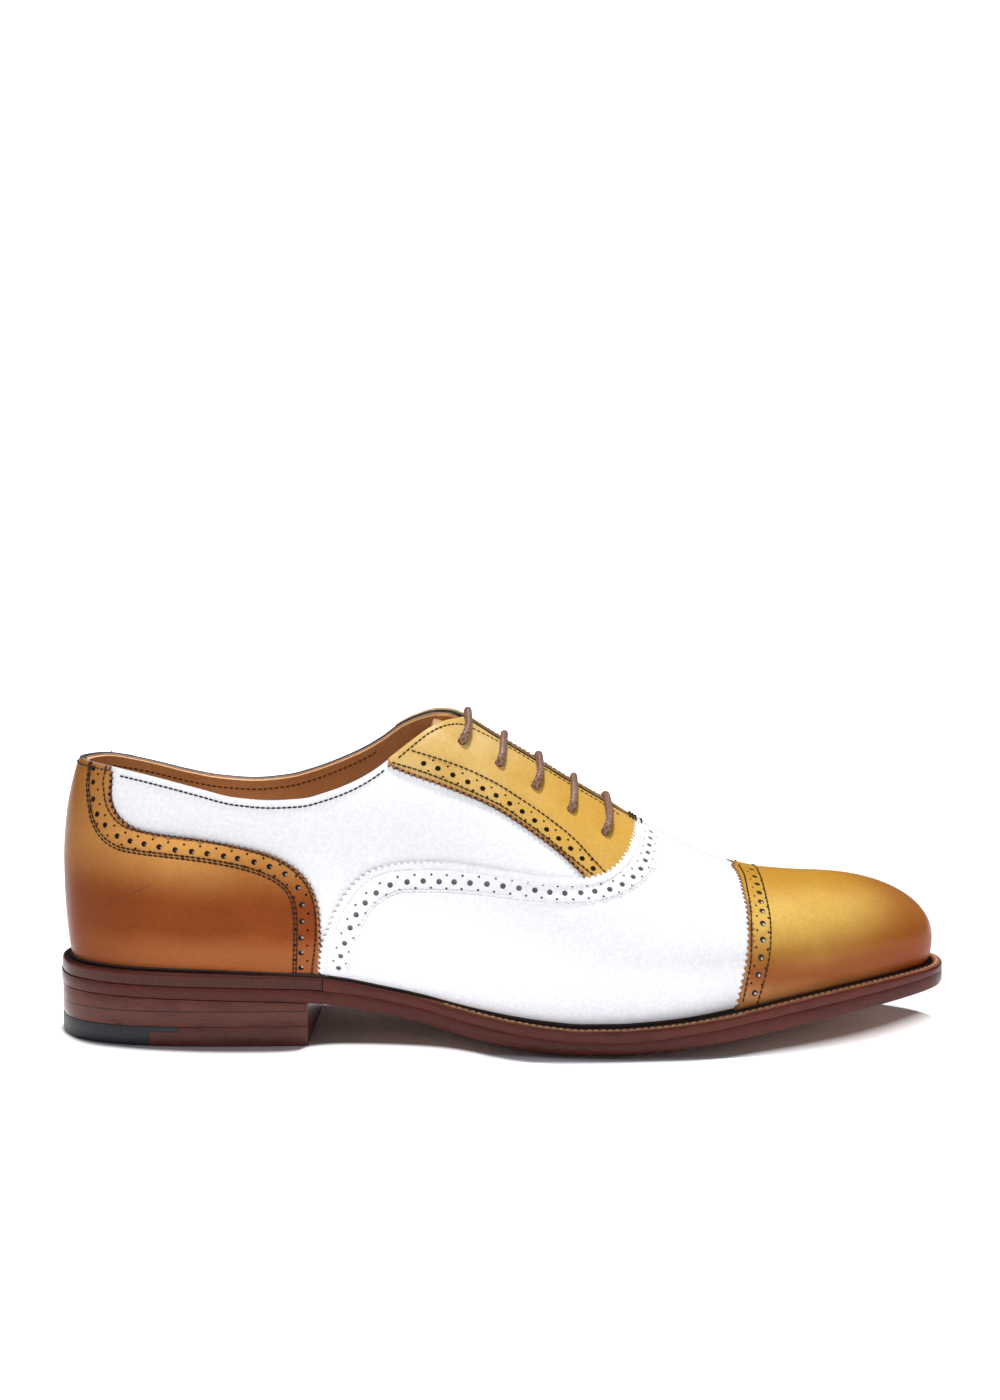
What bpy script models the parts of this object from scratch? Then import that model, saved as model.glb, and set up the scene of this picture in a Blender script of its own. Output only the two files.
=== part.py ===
"""Spectator shoe: a closed-lacing cap-toe dress shoe on a welted leather sole.

Run with blender --background --python part.py, or from the text editor.
The shape functions below work in millimetres from the back of the heel:
x runs to the toe, y to the inner (medial) side, z up from the floor.
Meshes are written in metres with the middle of the footprint at the origin.
"""
import math

import bmesh
import bpy
import numpy as np
from mathutils import Vector

# ---------------------------------------------------------------- dimensions
HEEL_CENTRE_X = 32.0        # axis that the ribs of the heel fan about
TOE_CENTRE = (262.0, 4.5)   # top of the toe, where the ribs of the toe meet
TIP = (306.3, 3.5)          # foremost point of the sole edge
WALL = 2.2                  # upper with its lining
GAP = 0.3                   # between pieces that meet
FEATHER_GAP = 0.55          # upper above the welt along its slope
CAP_SEAM_X = 234.0          # back edge of the toe cap
OVERLAY = 1.2               # thickness of toe cap and heel counter
HEEL_BREAST_X = 88.0        # front face of the heel
TOP_LIFT = 6.6              # top lift and rubber tip
TIP_FRONT_X = 35.0          # where the rubber tip meets the leather top lift
RAND_FRONT_X = 93.0         # where the heel rand meets the welt
RING_WIDTH_IN = 2.6         # welt reaches this far inside the feather line
INSOLE_TOP = 2.4            # insole above the welt
TREAD_SPOT = (179.0, 190.0) # forepart of the sole that lies on the floor
THROAT_X = 200.0            # foot of the lacing gap
LACE_DIAMETER = 2.4
LOWER_PART = 0.28           # share of a rib below its widest point

SOLE_COLUMNS = ("x", "lateral", "medial")
SOLE_ROWS = (
    (1.6, -9.0, 9.0), (6.0, -17.5, 17.5), (14.0, -24.0, 24.0),
    (26.0, -28.8, 28.6), (40.0, -31.0, 30.8), (56.0, -31.6, 31.2),
    (72.0, -31.3, 30.4), (88.0, -30.6, 28.8), (100.0, -30.3, 27.2),
    (112.0, -31.4, 26.2), (125.0, -34.2, 26.4), (138.0, -37.8, 28.4),
    (152.0, -41.4, 32.4), (168.0, -44.8, 38.4), (184.0, -46.5, 44.0),
    (200.0, -46.3, 47.8), (216.0, -44.6, 49.2), (232.0, -41.4, 48.2),
    (250.0, -36.2, 45.0), (268.0, -29.6, 39.4), (283.0, -22.8, 33.2),
    (295.0, -15.8, 25.8), (302.6, -9.0, 17.2),
)
LEVEL_COLUMNS = ("x", "tread", "outsole", "edge")
LEVEL_ROWS = (  # underside of the outsole, its thickness, outsole plus welt
    (0.0, 17.0, 4.2, 9.0), (55.0, 15.6, 4.3, 9.1), (88.0, 14.4, 4.5, 9.0),
    (100.0, 13.1, 4.7, 8.8), (112.0, 11.4, 4.8, 8.3), (125.0, 9.1, 4.8, 8.2),
    (138.0, 5.9, 4.9, 8.4), (152.0, 3.0, 5.0, 8.5), (163.0, 1.35, 5.0, 8.6),
    (171.0, 0.5, 5.0, 8.7), (178.0, 0.0, 5.0, 8.8), (191.0, 0.0, 5.0, 9.0),
    (198.0, 0.5, 5.0, 8.9), (206.0, 1.4, 5.0, 8.6), (214.0, 2.4, 5.0, 8.4),
    (223.0, 3.7, 5.0, 8.3), (232.0, 5.15, 5.0, 8.3), (250.0, 8.0, 5.0, 8.4),
    (268.0, 10.6, 4.9, 8.3), (287.0, 13.2, 4.8, 7.8), (306.3, 15.8, 4.6, 6.8),
)
GIRTH_COLUMNS = ("x", "feather", "bulge_lateral", "bulge_medial",
                 "height_lateral", "height_medial")
GIRTH_ROWS = (  # insets from the sole edge, and height of the widest point
    (0.0, 4.6, 2.7, 2.7, 58.0, 58.0), (30.0, 4.3, 0.6, 0.6, 56.0, 56.0),
    (56.0, 4.0, -0.8, -1.0, 53.0, 54.0), (88.0, 2.9, -3.5, -4.0, 48.0, 52.0),
    (112.0, 3.2, -4.3, -6.4, 43.0, 50.0), (125.0, 3.8, -3.2, -7.0, 40.0, 48.0),
    (138.0, 4.6, -1.4, -6.4, 37.0, 45.0), (152.0, 5.5, 0.9, -4.2, 33.5, 41.0),
    (168.0, 6.3, 2.9, -1.0, 30.0, 36.0), (184.0, 6.8, 3.9, 1.8, 27.5, 32.0),
    (200.0, 7.0, 4.3, 3.4, 26.0, 29.0), (217.0, 7.1, 4.6, 4.2, 26.0, 27.5),
    (232.0, 7.2, 5.3, 5.2, 26.5, 27.0), (250.0, 7.2, 5.5, 5.5, 27.5, 27.5),
    (268.0, 7.0, 5.4, 5.4, 28.5, 28.5), (287.0, 6.7, 5.3, 5.3, 30.0, 30.0),
    (306.3, 6.5, 5.3, 5.3, 31.0, 31.0),
)
RIDGE_COLUMNS = ("x", "y", "z", "full_lateral", "full_medial")
RIDGE_ROWS = (  # top line of the last, carried on over the open collar
    (0.0, 0.0, 119.0, 2.0, 2.0), (32.0, 0.0, 112.5, 2.0, 2.0),
    (50.0, 0.2, 108.5, 2.0, 2.0), (76.0, 0.6, 106.3, 2.0, 2.0),
    (94.0, 0.9, 107.5, 2.0, 2.0), (110.0, 1.2, 110.3, 2.0, 2.0),
    (120.0, 1.4, 111.8, 2.0, 2.0), (129.0, 1.6, 111.8, 1.98, 2.0),
    (137.0, 1.9, 108.7, 1.95, 2.0), (143.0, 2.1, 105.0, 1.92, 2.0),
    (152.0, 2.5, 99.2, 1.87, 2.0), (165.0, 3.2, 91.3, 1.8, 1.98),
    (173.0, 3.6, 86.2, 1.77, 1.96), (186.0, 4.2, 78.6, 1.75, 1.94),
    (200.0, 4.8, 70.2, 1.77, 1.94), (209.0, 5.1, 65.2, 1.8, 1.95),
    (218.0, 5.3, 60.8, 1.85, 1.97), (232.0, 5.3, 54.9, 1.92, 2.0),
    (244.0, 5.0, 52.2, 1.98, 2.02), (262.0, 4.5, 51.2, 2.05, 2.05),
    (310.0, 4.5, 51.2, 2.08, 2.08),
)
TOPLINE_COLUMNS = ("x", "lateral", "medial")
TOPLINE_ROWS = (
    (6.0, 94.3, 94.2), (13.0, 93.9, 93.8), (20.0, 93.1, 92.2),
    (30.0, 91.3, 89.4), (40.0, 89.0, 86.6), (52.0, 86.0, 84.2),
    (64.0, 83.2, 83.3), (76.0, 82.3, 84.4), (86.0, 82.8, 87.2),
    (95.0, 85.0, 90.7), (104.0, 88.5, 95.0), (111.0, 92.5, 99.4),
    (117.0, 97.0, 104.0), (123.0, 101.4, 107.0), (129.0, 105.2, 108.9),
    (134.0, 107.0, 109.2), (140.0, 107.4, 108.6), (150.0, 107.4, 108.6),
)
COUNTER_COLUMNS = ("x", "z")
COUNTER_ROWS = (  # upper edge of the heel counter on either side
    (0.0, 93.2), (13.0, 92.4), (16.5, 90.0), (19.5, 85.0), (22.5, 79.0),
    (26.0, 74.8), (31.0, 72.3), (40.0, 70.6), (53.0, 68.0), (70.0, 65.0), (80.0, 62.2),
    (85.0, 59.4), (88.0, 56.0), (91.0, 50.0), (94.0, 40.0), (95.0, 36.0),
)
EYELET_COLUMNS = ("x", "from_ridge")
EYELET_ROWS = (
    (139.6, 15.0), (152.2, 15.3), (164.8, 15.7), (177.2, 16.2), (189.2, 17.0),
)
EYELET_RADIUS = 1.5


# ------------------------------------------------------------ small numerics
def column(rows, names, name):
    k = names.index(name)
    return [row[0] for row in rows], [row[k] for row in rows]


class Smooth:
    """Monotone cubic through a table's column, held level past its ends."""

    def __init__(self, xs, ys):
        self.x, self.y = list(xs), list(ys)
        n = len(xs)
        h = [xs[i + 1] - xs[i] for i in range(n - 1)]
        d = [(ys[i + 1] - ys[i]) / h[i] for i in range(n - 1)]
        m = [d[0]] + [0.0] * (n - 2) + [d[-1]]
        for i in range(1, n - 1):
            if d[i - 1] * d[i] > 0.0:
                w1, w2 = 2 * h[i] + h[i - 1], h[i] + 2 * h[i - 1]
                m[i] = (w1 + w2) / (w1 / d[i - 1] + w2 / d[i])
        self.m = m

    def __call__(self, x):
        xs = self.x
        if x <= xs[0]:
            return self.y[0]
        if x >= xs[-1]:
            return self.y[-1]
        lo, hi = 0, len(xs) - 1
        while hi - lo > 1:
            mid = (lo + hi) // 2
            if xs[mid] <= x:
                lo = mid
            else:
                hi = mid
        h = xs[hi] - xs[lo]
        t = (x - xs[lo]) / h
        a, b = self.y[lo], self.y[hi]
        return ((2 * t ** 3 - 3 * t * t + 1) * a + (t ** 3 - 2 * t * t + t) * h * self.m[lo]
                + (3 * t * t - 2 * t ** 3) * b + (t ** 3 - t * t) * h * self.m[hi])


class Loop:
    """Closed cubic spline through the sole edge: back of heel, lateral side,
    tip, medial side. Its parameter counts table rows."""

    def __init__(self, rows, tip):
        pts = [(0.0, 0.0)] + [(r[0], r[1]) for r in rows] + [tip]
        pts += [(r[0], r[2]) for r in reversed(rows)]
        self.half = len(rows) + 1
        self.n = len(pts)
        p = np.array(pts, dtype=float)
        q = np.roll(p, -1, axis=0)
        self.h = np.sqrt(((q - p) ** 2).sum(axis=1))
        n, h = self.n, self.h
        a = np.zeros((n, n))
        b = np.zeros((n, 2))
        for i in range(n):
            j, k = (i - 1) % n, (i + 1) % n
            a[i, j] += h[j]
            a[i, i] += 2 * (h[j] + h[i])
            a[i, k] += h[i]
            b[i] = 6 * ((p[k] - p[i]) / h[i] - (p[i] - p[j]) / h[j])
        self.p, self.m = p, np.linalg.solve(a, b)

    def at(self, side, t):
        """Point and inward normal at row count t from the heel on a side."""
        u = t if side < 0 else self.n - t
        u = u % self.n
        i = min(int(u), self.n - 1)
        k = (i + 1) % self.n
        h = self.h[i]
        f = u - i
        a, b = (1 - f) * h, f * h
        p0, p1, m0, m1 = self.p[i], self.p[k], self.m[i], self.m[k]
        c0, c1 = p0 / h - m0 * h / 6, p1 / h - m1 * h / 6
        pos = m0 * a ** 3 / (6 * h) + m1 * b ** 3 / (6 * h) + c0 * a + c1 * b
        tan = -m0 * a * a / (2 * h) + m1 * b * b / (2 * h) - c0 + c1
        l = math.hypot(tan[0], tan[1])
        return (pos[0], pos[1]), (-tan[1] / l, tan[0] / l)


EDGE = Loop(SOLE_ROWS, TIP)
TREAD = Smooth(*column(LEVEL_ROWS, LEVEL_COLUMNS, "tread"))
OUTSOLE = Smooth(*column(LEVEL_ROWS, LEVEL_COLUMNS, "outsole"))
EDGE_HEIGHT = Smooth(*column(LEVEL_ROWS, LEVEL_COLUMNS, "edge"))
FEATHER = Smooth(*column(GIRTH_ROWS, GIRTH_COLUMNS, "feather"))
BULGE = {-1: Smooth(*column(GIRTH_ROWS, GIRTH_COLUMNS, "bulge_lateral")),
         1: Smooth(*column(GIRTH_ROWS, GIRTH_COLUMNS, "bulge_medial"))}
BULGE_Z = {-1: Smooth(*column(GIRTH_ROWS, GIRTH_COLUMNS, "height_lateral")),
           1: Smooth(*column(GIRTH_ROWS, GIRTH_COLUMNS, "height_medial"))}
RIDGE_Y = Smooth(*column(RIDGE_ROWS, RIDGE_COLUMNS, "y"))
RIDGE_Z = Smooth(*column(RIDGE_ROWS, RIDGE_COLUMNS, "z"))
FULL = {-1: Smooth(*column(RIDGE_ROWS, RIDGE_COLUMNS, "full_lateral")),
        1: Smooth(*column(RIDGE_ROWS, RIDGE_COLUMNS, "full_medial"))}
TOPLINE = {-1: Smooth(*column(TOPLINE_ROWS, TOPLINE_COLUMNS, "lateral")),
           1: Smooth(*column(TOPLINE_ROWS, TOPLINE_COLUMNS, "medial"))}
COUNTER_Z = Smooth(*column(COUNTER_ROWS, COUNTER_COLUMNS, "z"))


def welt_top(x):
    return TREAD(x) + EDGE_HEIGHT(x)


def inset(side, t, by):
    (x, y), (nx, ny) = EDGE.at(side, t)
    d = by(x) if callable(by) else by
    return x + nx * d, y + ny * d, x


# ------------------------------------------------------------ the last's ribs
def fan(side, t):
    """Station of a rib: 0 to 1 round the heel, 1 to 2 along x, 2 to 3 round
    the toe, from where its widest point lies."""
    gx, gy, _ = inset(side, t, BULGE[side])
    if gx < HEEL_CENTRE_X:
        return math.atan2(abs(gy), HEEL_CENTRE_X - gx) / (math.pi / 2)
    if gx <= TOE_CENTRE[0]:
        return 1.0 + (gx - HEEL_CENTRE_X) / (TOE_CENTRE[0] - HEEL_CENTRE_X)
    dy = side * (gy - TOE_CENTRE[1])
    return 3.0 - math.atan2(dy, gx - TOE_CENTRE[0]) / (math.pi / 2)


def station_of_x(x):
    return 1.0 + (x - HEEL_CENTRE_X) / (TOE_CENTRE[0] - HEEL_CENTRE_X)


class Rib:
    """One section of the last, from the feather line up to the ridge."""

    def __init__(self, side, station):
        lo, hi = -0.6, EDGE.half + 1.2
        for _ in range(34):
            mid = 0.5 * (lo + hi)
            t = fan(side, mid) if 0 <= mid <= EDGE.half - 1 else None
            if t is None:
                t = fan_open(side, mid)
            if t < station:
                lo = mid
            else:
                hi = mid
        t = 0.5 * (lo + hi)
        self.side, self.station, self.t = side, station, t
        fx, fy, ex = inset(side, t, FEATHER)
        gx, gy, _ = inset(side, t, BULGE[side])
        px = min(max(gx, HEEL_CENTRE_X), TOE_CENTRE[0])
        self.f = (fx, fy, welt_top(ex) + FEATHER_GAP)
        self.g = (gx, gy, BULGE_Z[side](ex))
        rz = RIDGE_Z(px if gx > HEEL_CENTRE_X else gx)
        self.p = (px, RIDGE_Y(px) if gx <= TOE_CENTRE[0] else TOE_CENTRE[1], rz)
        self.n = FULL[side](gx)

    def at(self, s):
        f, g, p = self.f, self.g, self.p
        if s < LOWER_PART:
            q = s / LOWER_PART
            k = 1.0 - (1.0 - q) ** 2.2
            return Vector((f[0] + (g[0] - f[0]) * k, f[1] + (g[1] - f[1]) * k,
                           f[2] + (g[2] - f[2]) * q))
        a = (s - LOWER_PART) / (1.0 - LOWER_PART) * math.pi / 2
        r = max(math.cos(a), 0.0) ** (2.0 / self.n)
        h = max(math.sin(a), 0.0) ** (2.0 / self.n)
        return Vector((p[0] + (g[0] - p[0]) * r, p[1] + (g[1] - p[1]) * r,
                       g[2] + (p[2] - g[2]) * h))

    def solve(self, low, test):
        """Share of the rib at which test turns true."""
        lo, hi = low, 1.0
        if not test(self.at(1.0)):
            return 1.0
        for _ in range(30):
            mid = 0.5 * (lo + hi)
            if test(self.at(mid)):
                hi = mid
            else:
                lo = mid
        return 0.5 * (lo + hi)

    def top(self):
        """Share at the topline, or at the edge of the lacing gap."""
        if self.station > station_of_x(THROAT_X) - 1e-6:
            return 1.0
        side, py = self.side, self.p[1]
        line = TOPLINE[side]
        over = self.solve(0.3, lambda v: v.z > line(v.x))
        if self.p[0] > 118.0:
            half = lacing_gap(self.p[0])
            over = min(over, self.solve(0.3, lambda v: abs(v.y - py) < half))
        return over

    def down_to(self, z):
        return self.solve(0.0, lambda v: v.z > z)


def fan_open(side, t):
    """Station just past the heel's or the toe's middle line."""
    gx, gy, _ = inset(side, t, BULGE[side])
    if t < EDGE.half / 2:
        return math.atan2(side * gy, HEEL_CENTRE_X - gx) / (math.pi / 2)
    return 3.0 - math.atan2(side * (gy - TOE_CENTRE[1]), gx - TOE_CENTRE[0]) / (math.pi / 2)


def lacing_gap(x):
    """Half the gap between the facings, closing at its foot."""
    return 2.4 - 0.9 * (x - 140.0) / 60.0


def stations(heel, middle, toe, extra=()):
    out = [i / heel for i in range(heel)]
    out += [1.0 + i / middle for i in range(middle)]
    out += [2.0 + i / toe for i in range(toe + 1)]
    out += [station_of_x(x) for x in extra]
    out = sorted(out)
    kept = [out[0]]
    for v in out[1:]:
        if v - kept[-1] > 0.008 or v in (3.0,) or v in [station_of_x(x) for x in extra]:
            if v - kept[-1] <= 0.008 and kept[-1] != 0.0:
                kept.pop()
            kept.append(v)
    return kept


# --------------------------------------------------------------- mesh helpers
SHIFT = Vector((0.0, 0.0, 0.0))     # set once the outline is known


def metres(v):
    return (Vector(v) - SHIFT) * 0.001


def material(name, colour, rough, metallic=0.0, coat=0.0):
    m = bpy.data.materials.new(name)
    m.use_nodes = True
    b = m.node_tree.nodes["Principled BSDF"]
    b.inputs["Base Color"].default_value = (*colour, 1.0)
    b.inputs["Roughness"].default_value = rough
    b.inputs["Metallic"].default_value = metallic
    b.inputs["Coat Weight"].default_value = coat
    m.diffuse_color = (*colour, 1.0)
    return m


def make(name, bm, mat, weld=0.00002, smooth=35.0):
    bmesh.ops.remove_doubles(bm, verts=bm.verts, dist=weld)
    bmesh.ops.dissolve_degenerate(bm, edges=bm.edges, dist=1e-7)
    bmesh.ops.recalc_face_normals(bm, faces=bm.faces)
    me = bpy.data.meshes.new(name)
    bm.to_mesh(me)
    bm.free()
    me.materials.append(mat)
    me.shade_smooth()
    me.set_sharp_from_angle(angle=math.radians(smooth))
    ob = bpy.data.objects.new(name, me)
    bpy.context.scene.collection.objects.link(ob)
    return ob


def grid_faces(bm, rows, close=False):
    """Quads over a table of vertices."""
    for a, b in zip(rows, rows[1:]):
        n = len(a)
        for i in range(n if close else n - 1):
            j = (i + 1) % n
            q = []
            for v in (a[i], a[j], b[j], b[i]):
                if v not in q:
                    q.append(v)
            if len(q) > 2 and bm.faces.get(q) is None:
                bm.faces.new(q)


def skin(columns):
    """Welded sheet over rib points with its averaged normals, in mm."""
    bm = bmesh.new()
    table = [[bm.verts.new(v) for v in col] for col in columns]
    grid_faces(bm, table)
    bmesh.ops.remove_doubles(bm, verts=bm.verts, dist=0.02)
    bmesh.ops.recalc_face_normals(bm, faces=bm.faces)
    bm.normal_update()
    return bm


def thick_skin(name, columns, outer, inner, mat):
    """Closed wall between two offsets of a sheet of rib points."""
    bm = skin(columns)
    mean = sum((f.normal.dot(f.calc_center_median() - Vector((150, 3, 40))) for f in bm.faces), 0.0)
    if mean < 0:
        bmesh.ops.reverse_faces(bm, faces=bm.faces)
        bm.normal_update()
    bm.verts.ensure_lookup_table()
    pos = [v.co.copy() for v in bm.verts]
    nor = [v.normal.copy() for v in bm.verts]
    faces = [[v.index for v in f.verts] for f in bm.faces]
    rim = [(e.verts[0].index, e.verts[1].index) for e in bm.edges if len(e.link_faces) == 1]
    bm.free()
    out = bmesh.new()
    a = [out.verts.new(metres(p + n * outer)) for p, n in zip(pos, nor)]
    b = [out.verts.new(metres(p + n * inner)) for p, n in zip(pos, nor)]
    for f in faces:
        out.faces.new([a[i] for i in f])
        out.faces.new([b[i] for i in reversed(f)])
    for i, j in rim:
        out.faces.new((a[i], a[j], b[j], b[i]))
    return make(name, out, mat, weld=0.000001)


# ---------------------------------------------------------------- the pieces
UPPER_STATIONS = stations(12, 28, 9, extra=(88.0, 91.0, 94.0, CAP_SEAM_X, THROAT_X, THROAT_X - 3.0, 126.0, 132.0, 137.0, 142.0))


def levels(top, low=3, high=9):
    """Shares of a rib at the rows of the upper's grid."""
    return ([LOWER_PART * i / low for i in range(low)]
            + [LOWER_PART + (top - LOWER_PART) * i / high for i in range(high + 1)])


def build_upper(mat):
    columns = []
    list_of = UPPER_STATIONS
    order = [(-1, s) for s in list_of] + [(1, s) for s in reversed(list_of[:-1])]
    for side, s in order:
        rib = Rib(side, s)
        columns.append([rib.at(q) for q in levels(rib.top())])
    upper = thick_skin("upper", columns, 0.0, -WALL, mat)
    return upper


def eyelet_cutters():
    cutters = []
    for side in (-1, 1):
        for k, (x, r) in enumerate(EYELET_ROWS):
            rib = Rib(side, station_of_x(x))
            s = rib.solve(0.3, lambda v: abs(v.y - rib.p[1]) < r)
            c = rib.at(s)
            d = rib.at(s + 0.01) - rib.at(s - 0.01)
            n = Vector((0, -d.z, d.y)).normalized()
            bm = bmesh.new()
            bmesh.ops.create_cone(bm, cap_ends=True, segments=8, radius1=EYELET_RADIUS * 0.001,
                                  radius2=EYELET_RADIUS * 0.001, depth=0.012)
            rot = Vector((0, 0, 1)).rotation_difference(n).to_matrix()
            for v in bm.verts:
                v.co = rot @ v.co + metres(c)
            me = bpy.data.meshes.new("eyelet_cut")
            bm.to_mesh(me)
            bm.free()
            ob = bpy.data.objects.new("eyelet_cut_%s%d" % ("l" if side < 0 else "m", k + 1), me)
            bpy.context.scene.collection.objects.link(ob)
            ob.hide_render = True
            ob.display_type = "WIRE"
            cutters.append(ob)
    return cutters


def build_toe_cap(mat):
    list_of = [s for s in UPPER_STATIONS if s >= station_of_x(CAP_SEAM_X) - 1e-6]
    order = [(-1, s) for s in list_of] + [(1, s) for s in reversed(list_of[:-1])]
    columns = []
    for side, s in order:
        rib = Rib(side, s)
        low = rib.down_to(rib.f[2] + 1.0)
        columns.append([rib.at(max(q, low)) for q in levels(1.0)])
    return thick_skin("toe_cap", columns, GAP + OVERLAY, GAP, mat)


def build_counter(mat):
    list_of = [s for s in UPPER_STATIONS if s <= station_of_x(94.0) + 1e-6]
    order = [(-1, s) for s in reversed(list_of)] + [(1, s) for s in list_of[1:]]
    columns = []
    for side, s in order:
        rib = Rib(side, s)
        top = rib.solve(0.0, lambda v: v.z > COUNTER_Z(v.x))
        limit = rib.top()
        top = min(top, limit - 0.012)
        low = rib.solve(0.0, lambda v: v.z > rib.f[2] + 1.0)
        columns.append([rib.at(min(max(q, low), top)) for q in levels(limit)])
    return thick_skin("heel_counter", columns, GAP + OVERLAY, GAP, mat)


def sole_stations():
    out = []
    for k in range(EDGE.half):
        steps = 3 if (k < 2 or k >= EDGE.half - 2) else 2 if (k < 4 or k >= EDGE.half - 5) else 1
        out += [k + i / steps for i in range(steps)]
    for x in TREAD_SPOT:
        t = t_of_x(-1, x)
        out = [k for k in out if abs(k - t) > 0.12] + [t]
    return sorted(out) + [float(EDGE.half)]


def plate(name, ts, outline, z_low, z_top, mat):
    """Closed plate: outline(side, t) gives x, y; heights follow x."""
    bm = bmesh.new()
    rows = []
    for t in ts:
        l, m = outline(-1, t), outline(1, t)
        c = ((l[0] + m[0]) / 2, (l[1] + m[1]) / 2)
        pts = [l, c, m]
        low = [bm.verts.new(metres((p[0], p[1], z_low(p[0])))) for p in pts]
        top = [bm.verts.new(metres((p[0], p[1], z_top(p[0])))) for p in pts]
        rows.append(low + top[::-1])
    grid_faces(bm, rows, close=True)
    for r in (rows[0], rows[-1]):
        quads = ((r[0], r[1], r[4], r[5]), (r[1], r[2], r[3], r[4]))
        for q in quads:
            bm.faces.new(q)
    return make(name, bm, mat, weld=0.00002)


def ring(name, path, outer, inner, z_low, z_top, mat, closed=False):
    """Strip of four corners along the sole edge; path lists (side, t)."""
    bm = bmesh.new()
    rows = []
    for side, t in path:
        o, i = outer(side, t), inner(side, t)
        rows.append([bm.verts.new(metres((p[0], p[1], z(p[2]))))
                     for p, z in ((o, z_low), (i, z_low), (i, z_top), (o, z_top))])
    if closed:
        rows.append(rows[0])
    grid_faces(bm, rows, close=True)
    if not closed:
        bm.faces.new(rows[0])
        bm.faces.new(rows[-1][::-1])
    return make(name, bm, mat, weld=0.000001)


def t_of_x(side, x):
    lo, hi = 0.0, float(EDGE.half)
    for _ in range(30):
        mid = 0.5 * (lo + hi)
        if EDGE.at(side, mid)[0][0] < x:
            lo = mid
        else:
            hi = mid
    return 0.5 * (lo + hi)


def build_outsole(mat):
    return plate("outsole", sole_stations(), lambda s, t: inset(s, t, 0.0)[:2], TREAD,
                 lambda x: TREAD(x) + OUTSOLE(x), mat)


def inner_inset(x):
    return FEATHER(x) + RING_WIDTH_IN


def build_welt(mat):
    ts = [t for t in sole_stations()]
    tl, tm = t_of_x(-1, RAND_FRONT_X + 0.15), t_of_x(1, RAND_FRONT_X + 0.15)
    path = [(-1, tl)] + [(-1, t) for t in ts if t > tl + 0.2]
    path += [(1, t) for t in reversed(ts) if tm + 0.2 < t < EDGE.half] + [(1, tm)]
    return ring("welt", path, lambda s, t: inset(s, t, 0.0), lambda s, t: inset(s, t, inner_inset),
                lambda x: TREAD(x) + OUTSOLE(x) + GAP, welt_top, mat)


def build_rand(mat):
    ts = [t for t in sole_stations()]
    tl, tm = t_of_x(-1, RAND_FRONT_X - 0.15), t_of_x(1, RAND_FRONT_X - 0.15)
    path = [(-1, tl)] + [(-1, t) for t in reversed(ts) if t < tl - 0.2]
    path += [(1, t) for t in ts if 0.0 < t < tm - 0.2] + [(1, tm)]
    return ring("heel_rand", path, lambda s, t: inset(s, t, 0.4), lambda s, t: inset(s, t, inner_inset),
                lambda x: TREAD(x) + OUTSOLE(x) + GAP, welt_top, mat)


def build_insole(mat):
    def edge(s, t):
        x, y, _ = inset(s, t, lambda q: FEATHER(q) + RING_WIDTH_IN + GAP + 0.05)
        return x, y
    return plate("insole", sole_stations(), edge, lambda x: TREAD(x) + OUTSOLE(x) + GAP,
                 lambda x: welt_top(x) + INSOLE_TOP, mat)


def heel_plate(name, z_low, z_top, mat, x_from=None, x_to=HEEL_BREAST_X):
    """Part of the heel between two x values, both sides alike."""
    ts = []
    t_end = t_of_x(-1, x_to)
    base = [t for t in sole_stations() if t < t_end - 0.15]
    if x_from is not None:
        t_start = t_of_x(-1, x_from)
        base = [t_start] + [t for t in base if t > t_start + 0.15]
    ts = base + [t_end]
    return plate(name, ts, lambda s, t: inset(s, t, 0.3)[:2], z_low, z_top, mat)


def build_heel(mat_stack, mat_lift, mat_rubber):
    heel_plate("heel_stack", lambda x: TOP_LIFT + GAP, lambda x: TREAD(x) - GAP, mat_stack)
    heel_tip(mat_rubber)
    heel_lift(mat_lift)


def heel_tip(mat):
    return heel_plate("heel_tip", lambda x: 0.0, lambda x: TOP_LIFT, mat, x_to=TIP_FRONT_X - GAP / 2)


def heel_lift(mat):
    return heel_plate("top_lift", lambda x: 0.0, lambda x: TOP_LIFT, mat, x_from=TIP_FRONT_X + GAP / 2)


def surface_point(x, off):
    """Point of the upper's outside at x and a distance across from the ridge."""
    side = -1 if off < 0 else 1
    rib = Rib(side, station_of_x(x))
    if abs(off) < 1e-6:
        return rib.at(1.0)
    s = rib.solve(0.3, lambda v: abs(v.y - rib.p[1]) < abs(off))
    return rib.at(s)


def build_tongue(mat):
    xs = [131.0, 138.0, 146.0, 155.0, 164.0, 173.0, 182.0, 191.0, 199.0, 206.0]
    offs = [-17.0, -13.0, -9.0, -5.5, -2.5, 0.0, 2.5, 5.5, 9.0, 13.0, 17.0]
    columns = [[surface_point(x, o) for o in offs] for x in xs]
    for col in columns:
        a, b = col[4], col[6]
        col[5] = Vector((col[5].x, col[5].y, 0.5 * (a.z + b.z) + 0.35))
    return thick_skin("tongue", columns, -(WALL + 2.75), -(WALL + 4.9), mat)


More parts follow.
